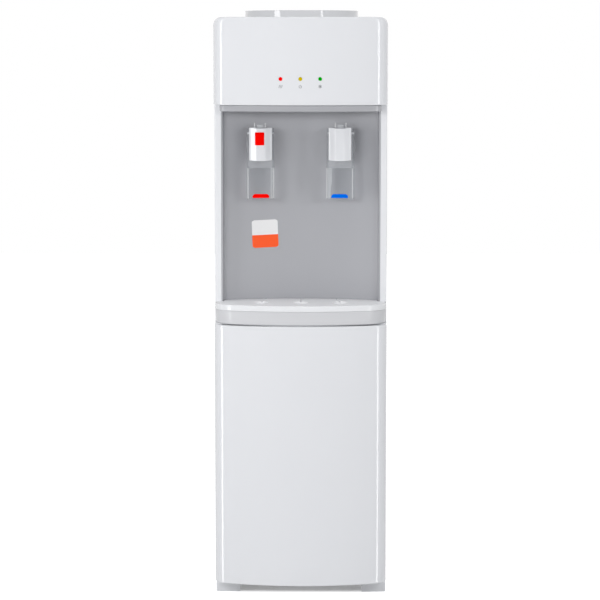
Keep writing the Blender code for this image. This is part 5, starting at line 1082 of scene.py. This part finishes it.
@dataclass
class Cap(TapPart):
    """White cap with two upright ridges, a pair of clear posts and a clear plate between them."""

    half: float = 0.01925
    wall: float = 0.0018
    low: float = 0.7399
    high: float = 0.7945
    front_y: float = -0.1129
    back_y: float = -0.0750
    ridge: float = 0.0050
    ridge_radius: float = 0.0080
    flat: float = math.radians(3.0)
    slope: float = math.radians(32.0)
    bend_radius: float = 0.0016
    bend_rise: float = 0.0013
    bend_turn: float = math.radians(54)
    bend_back: float = 0.009
    field_steps: tuple[int, int, int, int] = (9, 12, 5, 7)
    soft: float = 0.0010
    soft_steps: int = 6
    fall_y: float = -0.1082
    fall_slope: float = 0.25
    bulge: float = 0.0011
    bulge_half: float = 0.0193
    bulge_height: float = 0.012
    post_x: float = 0.0090
    post_y: float = -0.093
    post_radii: tuple[float, ...] = (0.0012, 0.0012, 0.0014, 0.0011, 0.0003)
    post_heights: tuple[float, ...] = (0.7925, 0.7995, 0.8008, 0.8021, 0.8025)
    post_steps: int = 16
    plate_half: float = 0.0050
    plate_thickness: float = 0.0016
    plate_heights: tuple[float, float] = (0.7930, 0.7990)

    def line(self, inset: float) -> np.ndarray:
        """Plan of the cap: three nearly flat fields that meet at two ridges, straight sides.

        Args:
            inset: distance inside the outer face.

        Returns:
            Open line from the back right to the back left.
        """
        middle_steps, ridge_steps, field_steps, bend_steps = self.field_steps
        half = self.half - inset
        front = self.front_y + inset
        radius = self.ridge / math.sin(self.flat)
        forward = -math.pi / 2
        middle = arc((0.0, front + radius), radius, forward + self.flat, forward - self.flat, middle_steps)
        edge = np.array([self.ridge, front + radius * (1 - math.cos(self.flat))])
        centre = edge + self.ridge_radius * np.array([-math.sin(self.flat), math.cos(self.flat)])
        ridge = arc(centre, self.ridge_radius, forward + self.flat, forward + self.slope, ridge_steps)[1:]
        reach = half - self.bend_radius - ridge[-1][0]
        share = np.linspace(0.0, 1.0, field_steps)[1:]
        field = ridge[-1] + np.outer(share, [reach, reach * math.tan(self.slope)])
        bend_y = field[-1][1]
        bend_centre = (half - self.bend_radius, bend_y + self.bend_rise)
        bend = arc(bend_centre, self.bend_radius, -self.bend_turn, 0.0, bend_steps)
        side = np.array([[half, bend_y + self.bend_back], [half, self.back_y]])
        right = np.vstack([ridge, field, bend, side])
        return np.vstack([right[::-1], middle, right * (-1.0, 1.0)]) + (self.x, 0.0)

    def skin(self, inset: float) -> Patch:
        """Stacks the plan upwards, slopes the top down to the front and bows the lower edge down.

        Args:
            inset: distance inside the outer face.

        Returns:
            The patch.
        """
        height = self.high - inset - self.low
        ends = end_levels(self.soft, self.soft_steps)
        plain = np.linspace(self.soft, height - self.soft, self.soft_steps)
        from_low = merged_levels(ends, plain, height - ends)
        draw = drawn_in(height - from_low, self.soft)
        if inset == 0.0:
            draw = np.maximum(draw, drawn_in(from_low, self.soft))
        skin = stack([self.line(inset + d) for d in draw], self.low + from_low, False, (False, True))
        x, y, z = skin.points.T
        upper = z > self.low + height / 2
        fall = self.fall_slope * np.clip(self.fall_y - y, 0.0, None) * upper
        bow = np.clip(1.0 - ((x - self.x) / self.bulge_half) ** 2, 0.0, 1.0)
        bow *= np.clip(1.0 - (z - fall - self.low) / self.bulge_height, 0.0, 1.0)
        skin.points[:, 2] -= fall + self.bulge * bow
        return skin

    def post(self, offset: float) -> Patch:
        """Builds a thin upright post with a rounded tip on the cap.

        Args:
            offset: sideways place about the tap.

        Returns:
            The patch.
        """
        angle = full_turn(self.post_steps)
        rings = [
            np.column_stack([r * np.cos(angle) + self.x + offset, r * np.sin(angle) + self.post_y])
            for r in self.post_radii
        ]
        patch = stack(rings, np.array(self.post_heights), True, (False, True))
        patch.slot = 1
        return patch

    def build(self) -> None:
        """Builds the cap's two skins, the join between them, the posts and the plate."""
        outer = self.skin(0.0)
        inner = self.skin(self.wall)
        count = len(self.line(0.0))
        join = Patch(np.vstack([outer.points[:count], inner.points[:count]]), grid_faces(2, count))
        posts = [self.post(offset) for offset in (-self.post_x, self.post_x)]
        plate_y = (self.post_y - self.plate_thickness / 2, self.post_y + self.plate_thickness / 2)
        plate = self.slab((-self.plate_half, self.plate_half), plate_y, self.plate_heights, 2)
        patches = [outer, inner, join, *posts, plate]
        finishes = [GLOSS_WHITE, CLEAR_TIP, CLEAR_EDGE]
        name = f"{self.side}_tap_cap"
        self.put(f"{self.side}_cap_skin", patches, finishes, self.lever_body, "gloss_white", name)


@dataclass
class CupLever(TapPart):
    """Clear cup lever: a front wall with rounded corners between two side walls up to the pin.

    Thin, less clear plates inside it are painted highlights: they stand for the bright lines, bands and haze
    that light makes in thick clear walls.
    """

    bands: tuple[float, float] = (0.0038, 0.0036)
    half: float = 0.0225
    wall: float = 0.0018
    corner: float = 0.003
    corner_steps: int = 7
    bottom: float = 0.6752
    front_top: float = 0.7273
    eye_top: float = 0.7930
    rows: int = 25
    side_rows: int = 13
    rear_heights: tuple[float, ...] = (0.6752, 0.6782, 0.7000, 0.7273, 0.7770, 0.7850, 0.7930)
    rear_depths: tuple[float, ...] = (-0.0905, -0.0875, -0.0855, -0.0845, -0.0905, -0.0905, -0.0945)
    nose_heights: tuple[float, ...] = (0.7273, 0.7350, 0.7850, 0.7930)
    nose_depths: tuple[float, ...] = (LEVER_FRONT_Y, -0.1072, -0.1064, -0.1025)
    rear_lift: float = 0.00005
    plate_thickness: float = 0.0006
    line_depth: float = 0.0006
    line_in: float = 0.0004
    line_wall_share: float = 0.9
    line_ends: tuple[float, float] = (0.001, 0.0005)
    haze_depth: float = 0.0040
    haze_height: float = 0.0125
    band_depth: float = 0.0060
    band_in: float = 0.0003
    band_ends: tuple[float, float] = (0.0006, 0.0004)
    band_split_share: float = 0.45

    def build(self) -> None:
        """Builds the lever."""
        levels = np.linspace(self.bottom, self.front_top, self.rows)
        patches = [*self.channel(levels)]
        for part in (self.side_wall, self.painted_rear_edge, self.painted_corner_line):
            patches += [part(sign) for sign in (-1, 1)]
        inner = self.half - self.wall
        # The hazy plate above the front wall's top lightens the band seen through the lever there: painted
        # light.
        haze_heights = (self.front_top, self.front_top + self.haze_height)
        patches.append(self.slab((-inner, inner), self.plate_depths(self.haze_depth), haze_heights, 2))
        patches += self.painted_wall_band()
        finishes = [CLEAR, CLEAR_EDGE, CLEAR_HAZE, CLEAR_TIP]
        self.put(f"{self.side}_lever_skin", patches, finishes, self.lever_body, "clear", f"{self.side}_lever")

    def channel(self, levels: np.ndarray) -> list[Patch]:
        """Builds the U-shaped lower part from stacked plans, with quads across both ends.

        Args:
            levels: heights of the plans.

        Returns:
            The channel and its two ends.
        """
        half, wall, steps = self.half, self.wall, self.corner_steps
        middle = (half - self.corner, LEVER_FRONT_Y + self.corner)
        outer = arc(middle, self.corner, -math.pi / 2, 0.0, steps)
        inner = arc(middle, self.corner - wall, 0.0, -math.pi / 2, steps)
        outlines = []
        for back in np.interp(levels, self.rear_heights, self.rear_depths):
            right = np.vstack([outer, [[half, back], [half - wall, back]], inner])
            outlines.append(np.vstack([right, (right * (-1.0, 1.0))[::-1]]) + (self.x, 0.0))
        channel = stack(outlines, levels, True, (False, False))
        count = len(outlines[0])
        side = count // 2
        across = [
            (s + i, s + i + 1, s + side - 2 - i, s + side - 1 - i) for s in (0, side) for i in range(steps)
        ]
        across.append((0, side - 1, side, count - 1))
        return [channel, Patch(channel.points[:count], across, 1), Patch(channel.points[-count:], across, 1)]

    def walls_x(self, sign: int) -> tuple[float, float]:
        """Sideways places of the outer and inner face of the left (-1) or right (1) wall."""
        return self.x + sign * self.half, self.x + sign * (self.half - self.wall)

    def side_wall(self, sign: int) -> Patch:
        """Builds the upper part of a side wall, from the front wall's top to the eye on the pin.

        Args:
            sign: -1 for the left wall and 1 for the right wall.

        Returns:
            The patch.
        """
        z = np.linspace(self.front_top, self.eye_top, self.side_rows)
        rear = np.interp(z, self.rear_heights, self.rear_depths)
        nose = np.interp(z, self.nose_heights, self.nose_depths)
        outer_x, inner_x = self.walls_x(sign)
        corners = [(outer_x, nose), (outer_x, rear), (inner_x, rear), (inner_x, nose)]
        rows = np.stack([np.column_stack([np.full_like(z, x), y, z]) for x, y in corners], axis=1)
        faces = grid_faces(len(z), 4, True) + [tuple(range((len(z) - 1) * 4, len(z) * 4))]
        return Patch(rows.reshape(-1, 3), faces)

    def painted_rear_edge(self, sign: int) -> Patch:
        """Builds a painted highlight: a less clear strip on the rear edge of a side wall, where light leaves
        the plastic.

        Args:
            sign: -1 for the left wall and 1 for the right wall.

        Returns:
            The patch.
        """
        z = np.linspace(self.bottom, self.front_top, self.rows)
        y = np.interp(z, self.rear_heights, self.rear_depths) + self.rear_lift
        rows = np.stack([np.column_stack([np.full_like(z, x), y, z]) for x in self.walls_x(sign)], axis=1)
        return Patch(rows.reshape(-1, 3), grid_faces(len(z), 2), 1)

    def plate_depths(self, behind: float) -> tuple[float, float]:
        """Depths of a thin plate's front and back, behind the front wall's face."""
        front = LEVER_FRONT_Y + behind
        return front, front + self.plate_thickness

    def painted_corner_line(self, sign: int) -> Patch:
        """Builds the painted highlight line in a front corner: a thin, less clear plate just behind the front
        wall.

        Args:
            sign: -1 for the left corner and 1 for the right corner.

        Returns:
            The patch.
        """
        inner = sign * (self.half - self.wall * self.line_wall_share)
        outer = sign * (self.half - self.line_in)
        heights = (self.bottom + self.line_ends[0], self.front_top - self.line_ends[1])
        across = (min(inner, outer), max(inner, outer))
        return self.slab(across, self.plate_depths(self.line_depth), heights, 3)

    def painted_wall_band(self) -> list[Patch]:
        """Builds the painted highlight band that stands for the light the thick side wall nearer the middle
        shows, in two widths.

        Returns:
            A lower and an upper thin plate just behind the front wall.
        """
        split = self.bottom + self.band_split_share * (self.front_top - self.bottom)
        spans = ((self.bottom + self.band_ends[0], split), (split, self.front_top - self.band_ends[1]))
        outer = -self.sign * (self.half - self.band_in)
        plates = []
        for band, heights in zip(self.bands, spans):
            inner = -self.sign * (self.half - self.wall - band)
            across = (min(inner, outer), max(inner, outer))
            plates.append(self.slab(across, self.plate_depths(self.band_depth), heights, 3))
        return plates


@dataclass
class LeverPad(TapPart):
    """Coloured pad on the front wall's foot: a bar whose two upper corners are rounded off."""

    finish: Finish
    slot: str
    half: float = 0.0142
    low: float = 0.6770
    high: float = 0.6842
    round_off: float = 0.0052
    round_rise: float = 0.0015
    round_angles: tuple[float, float] = (math.radians(8), math.radians(82))
    round_steps: int = 9
    foot_in: float = 0.0003
    ahead: float = 0.0004
    depths: tuple[float, ...] = (0.0010, 0.0002, 0.0)
    draws: tuple[float, ...] = (0.0, 0.0, 0.0002)
    draw_scale: float = 0.0035

    def build(self) -> None:
        """Builds the pad: its outline carried forwards and drawn in a little at the front."""
        centre = (self.half - self.round_off, self.low + self.round_rise)
        top = arc(centre, self.round_off, *self.round_angles, self.round_steps)
        top[:, 1] = np.minimum(top[:, 1], self.high)
        right = np.vstack([[self.half - self.foot_in, self.low], top])
        line = np.vstack([right, right[::-1] * (-1.0, 1.0)])
        middle = np.array([0.0, (self.low + self.high) / 2])
        rings = []
        for depth, draw in zip(self.depths, self.draws):
            across, z = (middle + (line - middle) * (1 - draw / self.draw_scale)).T
            y = np.full_like(z, LEVER_FRONT_Y - self.ahead + depth)
            rings.append(np.column_stack([across + self.x, y, z]))
        patch = Patch(np.concatenate(rings), closed_faces(len(rings), len(line)))
        name = f"{self.side}_lever_pad"
        self.put(f"{self.side}_pad_skin", [patch], [self.finish], self.lever_body, self.slot, name)


def closed_faces(rows: int, columns: int) -> list[tuple[int, ...]]:
    """Lists the faces of a tube of closed rows with both of its ends filled."""
    ends = [tuple(range((rows - 1) * columns, rows * columns)), tuple(reversed(range(columns)))]
    return grid_faces(rows, columns, True) + ends


@dataclass
class LockButton(TapPart):
    """Red lock button of the hot tap: a rounded block with softened front edges."""

    offset: float = -0.0022
    middle_z: float = 0.7761
    front_y: float = -0.1144
    half_x: float = 0.00765
    half_z: float = 0.0108
    corner: float = 0.0012
    corner_steps: int = 5
    depths: tuple[float, ...] = (0.0070, 0.0008, 0.0004, 0.00012, 0.0)
    draws: tuple[float, ...] = (0.0, 0.0, 0.0001, 0.0004, 0.0008)

    def build(self) -> None:
        """Builds the button: its outline carried forwards and drawn in towards the front."""
        x, z = self.half_x - self.corner, self.half_z - self.corner
        quarter = math.pi / 2
        line = np.vstack(
            [
                arc((sx * x, sz * z), self.corner, i * quarter, (i + 1) * quarter, self.corner_steps)
                for i, (sx, sz) in enumerate(((1, 1), (-1, 1), (-1, -1), (1, -1)))
            ]
        )
        rows = []
        for depth, draw in zip(self.depths, self.draws):
            across, up = (line * (1 - draw / np.array([self.half_x, self.half_z]))).T
            y = np.full_like(up, self.front_y + depth)
            rows.append(np.column_stack([across + self.x + self.offset, y, up + self.middle_z]))
        patch = Patch(np.concatenate(rows), closed_faces(len(rows), len(line)))
        self.put("lock_skin", [patch], [RED], Body.LOCK, "red", "child_lock_button")


@dataclass
class Collar:
    """Bottle collar: a turned ring with a funnel and neck."""

    radius: float = 0.0975
    top: float = 0.9900
    rim_radius: float = 0.0895
    lip: float = 0.0008
    lip_steps: int = 7
    level_part: tuple[float, float] = (0.9796, 0.9888)
    foot_round: tuple[float, float] = (0.0005, 0.00065)
    foot: float = 0.97835
    skirt: tuple[float, float] = (0.0848, 0.9663)
    neck_radius: float = 0.0355
    neck_wall: float = 0.0025
    neck_heights: tuple[float, float, float] = (0.9120, 0.9295, 0.9320)
    funnel: tuple[tuple[float, float], ...] = ((0.0823, 0.9688), (0.0875, 0.9885), (0.0881, 0.9895))
    steps: int = 128

    def profile(self) -> np.ndarray:
        """Gives the closed profile: rim, lip, wall, foot, skirt, neck and funnel.

        Returns:
            Radius and height, one point a row.
        """
        neck_low, neck_top, neck_inside = self.neck_heights
        inner = self.neck_radius - self.neck_wall
        lip = arc((self.radius - self.lip, self.top - self.lip), self.lip, math.pi / 2, 0.0, self.lip_steps)
        wall = [[self.radius, self.level_part[1]], [self.radius, self.level_part[0]]]
        foot = [
            [self.radius, self.foot + self.foot_round[1]],
            [self.radius - self.foot_round[0], self.foot],
            [self.skirt[0], self.foot],
        ]
        neck = [
            [self.neck_radius, neck_top],
            [self.neck_radius, neck_low],
            [inner, neck_low],
            [inner, neck_inside],
        ]
        return np.vstack([[[self.rim_radius, self.top]], lip, wall, foot, [self.skirt], neck, self.funnel])

    def build(self) -> None:
        """Turns the profile about the bottle's axis: x = r cos a, y = axis + r sin a."""
        radius, z = self.profile().T
        angle = full_turn(self.steps)
        x = radius[:, None] * np.cos(angle)
        y = COLLAR_Y + radius[:, None] * np.sin(angle)
        ring = np.stack([x, y, np.broadcast_to(z[:, None], x.shape)], axis=-1)
        looped = np.concatenate([ring, ring[:1]]).reshape(-1, 3)
        patch = Patch(looped, grid_faces(len(radius) + 1, self.steps, True))
        make("collar_skin", [patch], [COLLAR_GREY], Body.COLLAR, ("bottle_collar",))


class KeptNodes:
    """Finishes for the pieces of the frame that are shown as they are."""

    TABLE: dict[Finish, tuple[str, ...]] = {
        PAINT_WHITE: ("base_pan", "left_side_panel", "right_side_panel", "door_liner", "shelf_deck"),
        GLOSS_WHITE: (
            "cabinet_liner",
            "hot_tap_body",
            "hot_tap_nut",
            "cold_tap_body",
            "cold_tap_nut",
            "top_cover",
            "bottle_probe",
            "tank_lid",
            "drain_outlet",
        ),
        ZINC: ("back_panel", "cold_tank_bracket", "hot_tank_bracket", "condenser_hanger"),
        STEEL: ("cold_tank", "hot_tank", "band_heater"),
        COPPER: ("evaporator_coil", "discharge_pipe", "filter_drier", "suction_pipe"),
        ENAMEL: ("compressor", "condenser"),
        BLACK: ("door_catch", "thermostat", "switch_housing", "power_inlet", "drain_cap"),
        RUBBER: ("compressor_mount",),
        SILICONE: (
            "hot_valve_plunger",
            "cold_valve_plunger",
            "cold_hose",
            "hot_hose",
            "feed_hose",
            "drain_hose",
        ),
        FOAM: ("tank_insulation",),
        BOARD: ("lamp_board",),
        RED: ("hot_switch_rocker",),
        GREEN: ("cold_switch_rocker",),
    }

    def build(self) -> None:
        """Gives each kept node its finish."""
        for finish, names in self.TABLE.items():
            for name in names:
                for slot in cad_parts[name].material_slots:
                    slot.link = "OBJECT"
                    slot.material = finish.build()
                LOG.info("finished %s", name)


@dataclass(frozen=True)
class Softbox:
    """An upright rectangular lamp that faces the cooler's axis.

    Args:
        name: name of the lamp.
        azimuth: angle in degrees from straight ahead, positive to the right.
        distance: level distance from the cooler's axis.
        height: height of its middle.
        aim: height of the point it faces.
        size: its width and height.
        power: its power in watts.
        mirrored: whether glossy surfaces show it.
    """

    name: str
    azimuth: float
    distance: float
    height: float
    aim: float
    size: tuple[float, float]
    power: float
    mirrored: bool = False

    def build(self) -> None:
        """Adds the lamp, unseen by the camera."""
        data = bpy.data.lights.new(self.name, "AREA")
        data.shape = "RECTANGLE"
        data.size, data.size_y = self.size
        data.energy = self.power
        item = bpy.data.objects.new(self.name, data)
        turn = math.radians(self.azimuth)
        place = Vector((self.distance * math.sin(turn), -self.distance * math.cos(turn), self.height))
        item.location = place
        item.rotation_euler = (Vector((0.0, 0.0, self.aim)) - place).to_track_quat("-Z", "Y").to_euler()
        item.visible_camera = False
        item.visible_glossy = self.mirrored
        bpy.context.scene.collection.objects.link(item)


@dataclass
class Studio:
    """Camera, soft lights, pale floor and white surround."""

    camera_place: tuple[float, float, float] = (0.045, -3.865, 0.9402)
    camera_reach: float = 3.7
    lens: float = 134.76
    sensor_width: float = 36.0
    pitch: float = 6.15
    shift: tuple[float, float] = (-0.0005, -0.03)
    floor_half: float = 6.0
    surround: float = 0.33
    surround_colour: tuple[float, float, float, float] = (0.97, 0.98, 1.0, 1.0)
    floor_glow: tuple[float, float] = (0.18, 1.0)
    glow_middle: tuple[float, float, float] = (0.0, 0.05, 0.0)
    glow_foot: tuple[float, float, float] = (0.118, 0.128, 0.0)
    glow_reach: float = 0.030
    lamps: tuple[Softbox, ...] = (
        Softbox("left_strip", -49.0, 2.0, 0.25, 0.25, (0.42, 1.90), 10.8, True),
        Softbox("right_strip", 41.5, 2.0, 0.25, 0.25, (0.13, 1.90), 3.4, True),
        Softbox("left_panel", -19.0, 2.2, 1.05, 0.75, (0.60, 0.24), 9.6),
        Softbox("right_panel", 23.0, 2.2, 1.05, 0.75, (0.60, 0.24), 6.1),
        Softbox("left_side", -78.0, 2.0, 1.90, 0.50, (0.8, 0.8), 5.0),
        Softbox("right_side", 78.0, 2.0, 1.90, 0.50, (0.8, 0.8), 7.0),
        Softbox("top_panel", 0.0, 0.6, 2.40, 0.60, (1.2, 1.2), 6.5),
    )

    def build(self) -> None:
        """Builds the studio."""
        self.camera()
        self.floor()
        self.world()
        for lamp in self.lamps:
            lamp.build()
        bpy.context.scene.view_settings.view_transform = "Standard"

    def camera(self) -> None:
        """Places the camera where the photo was taken from, turned to the cooler's axis."""
        data = bpy.data.cameras.new("camera")
        data.lens = self.lens
        data.sensor_width = self.sensor_width
        data.shift_x, data.shift_y = self.shift
        item = bpy.data.objects.new("camera", data)
        item.location = self.camera_place
        turn = math.atan(self.camera_place[0] / self.camera_reach)
        item.rotation_euler = (math.radians(90 - self.pitch), 0.0, turn)
        bpy.context.scene.collection.objects.link(item)
        bpy.context.scene.camera = item

    def floor(self) -> None:
        """Lays a pale floor that keeps the shadow and that the camera sees near white.

        The glow rises from its low to its high value with the distance from the cooler's foot,
        a rectangle: the length of max(|place - middle| - foot, 0), over the reach. The weak glow in
        that rectangle is painted shade: the floor reads darker round the foot, where its real shadow
        also shows, and the full glow whitens the floor everywhere else.
        """
        half = self.floor_half
        mesh = bpy.data.meshes.new("floor")
        corners = [(-half, -half, 0.0), (half, -half, 0.0), (half, half, 0.0), (-half, half, 0.0)]
        mesh.from_pydata(corners, [], [(0, 1, 2, 3)])
        material = FLOOR_PAPER.build()
        tree = material.node_tree
        where = add_node(tree, "TexCoord", {})
        steps = [
            add_node(tree, "VectorMath", {1: self.glow_middle}, operation="SUBTRACT"),
            add_node(tree, "VectorMath", {}, operation="ABSOLUTE"),
            add_node(tree, "VectorMath", {1: self.glow_foot}, operation="SUBTRACT"),
            add_node(tree, "VectorMath", {1: (0.0, 0.0, 0.0)}, operation="MAXIMUM"),
            add_node(tree, "VectorMath", {}, operation="LENGTH"),
        ]
        low, high = self.floor_glow
        spread = {"From Max": self.glow_reach, "To Min": low, "To Max": high}
        rise = add_node(tree, "MapRange", spread, interpolation_type="SMOOTHSTEP")
        seen = add_node(tree, "Emission", {"Color": PURE_WHITE})
        both = add_node(tree, "AddShader", {})
        blend = add_node(tree, "MixShader", {})
        shader = tree.nodes["Principled BSDF"]
        link = tree.links.new
        link(where.outputs["Object"], steps[0].inputs[0])
        for before, after in zip(steps, steps[1:]):
            link(before.outputs["Vector"], after.inputs[0])
        link(steps[-1].outputs["Value"], rise.inputs["Value"])
        link(rise.outputs["Result"], seen.inputs["Strength"])
        link(shader.outputs["BSDF"], both.inputs[0])
        link(seen.outputs["Emission"], both.inputs[1])
        link(self.seen_share(tree), blend.inputs["Fac"])
        link(shader.outputs["BSDF"], blend.inputs[1])
        link(both.outputs["Shader"], blend.inputs[2])
        link(blend.outputs["Shader"], tree.nodes["Material Output"].inputs["Surface"])
        mesh.materials.append(material)
        item = bpy.data.objects.new("floor", mesh)
        item.visible_glossy = False
        bpy.context.scene.collection.objects.link(item)

    @staticmethod
    def seen_share(tree: bpy.types.NodeTree) -> bpy.types.NodeSocket:
        """Gives 1 for the camera's rays and for reflected and refracted rays, and 0 for the rest.

        Args:
            tree: the node tree to add to.

        Returns:
            The socket that carries the share.
        """
        rays = add_node(tree, "LightPath", {})
        share = rays.outputs["Is Camera Ray"]
        for kind in ("Is Glossy Ray", "Is Transmission Ray"):
            larger = add_node(tree, "Math", {}, operation="MAXIMUM")
            tree.links.new(share, larger.inputs[0])
            tree.links.new(rays.outputs[kind], larger.inputs[1])
            share = larger.outputs["Value"]
        return share

    def world(self) -> None:
        """Makes a white surround that the camera sees as white and that lights softly."""
        world = bpy.data.worlds.new("surround")
        bpy.context.scene.world = world
        world.use_nodes = True
        tree = world.node_tree
        tree.nodes.clear()
        out = add_node(tree, "OutputWorld", {})
        lit = add_node(tree, "Background", {"Color": self.surround_colour, "Strength": self.surround})
        seen = add_node(tree, "Background", {"Color": PURE_WHITE, "Strength": 1.0})
        blend = add_node(tree, "MixShader", {})
        link = tree.links.new
        link(self.seen_share(tree), blend.inputs["Fac"])
        link(lit.outputs["Background"], blend.inputs[1])
        link(seen.outputs["Background"], blend.inputs[2])
        link(blend.outputs["Shader"], out.inputs["Surface"])


def main() -> None:
    """Builds the looks in order: kept nodes, shells, recess, station, taps, collar and studio."""
    logging.basicConfig(level=logging.INFO)
    KeptNodes().build()
    Head().build()
    BowedShell("door_shell", DOOR_BOTTOM, DOOR_TOP, DOOR_BACK_Y, Body.DOOR, "cabinet_door").build()
    Recess().build()
    Station().build()
    hot = ("hot", -1, HOT_SHIFT)
    cold = ("cold", 1, COLD_SHIFT)
    Cap(*hot).build()
    CupLever(*hot).build()
    LeverPad(*hot, RED, "red").build()
    LockButton(*hot).build()
    Cap(*cold).build()
    CupLever(*cold, bands=COLD_BANDS).build()
    LeverPad(*cold, BLUE, "blue").build()
    Collar().build()
    Studio().build()


if __name__ == "__main__":
    main()
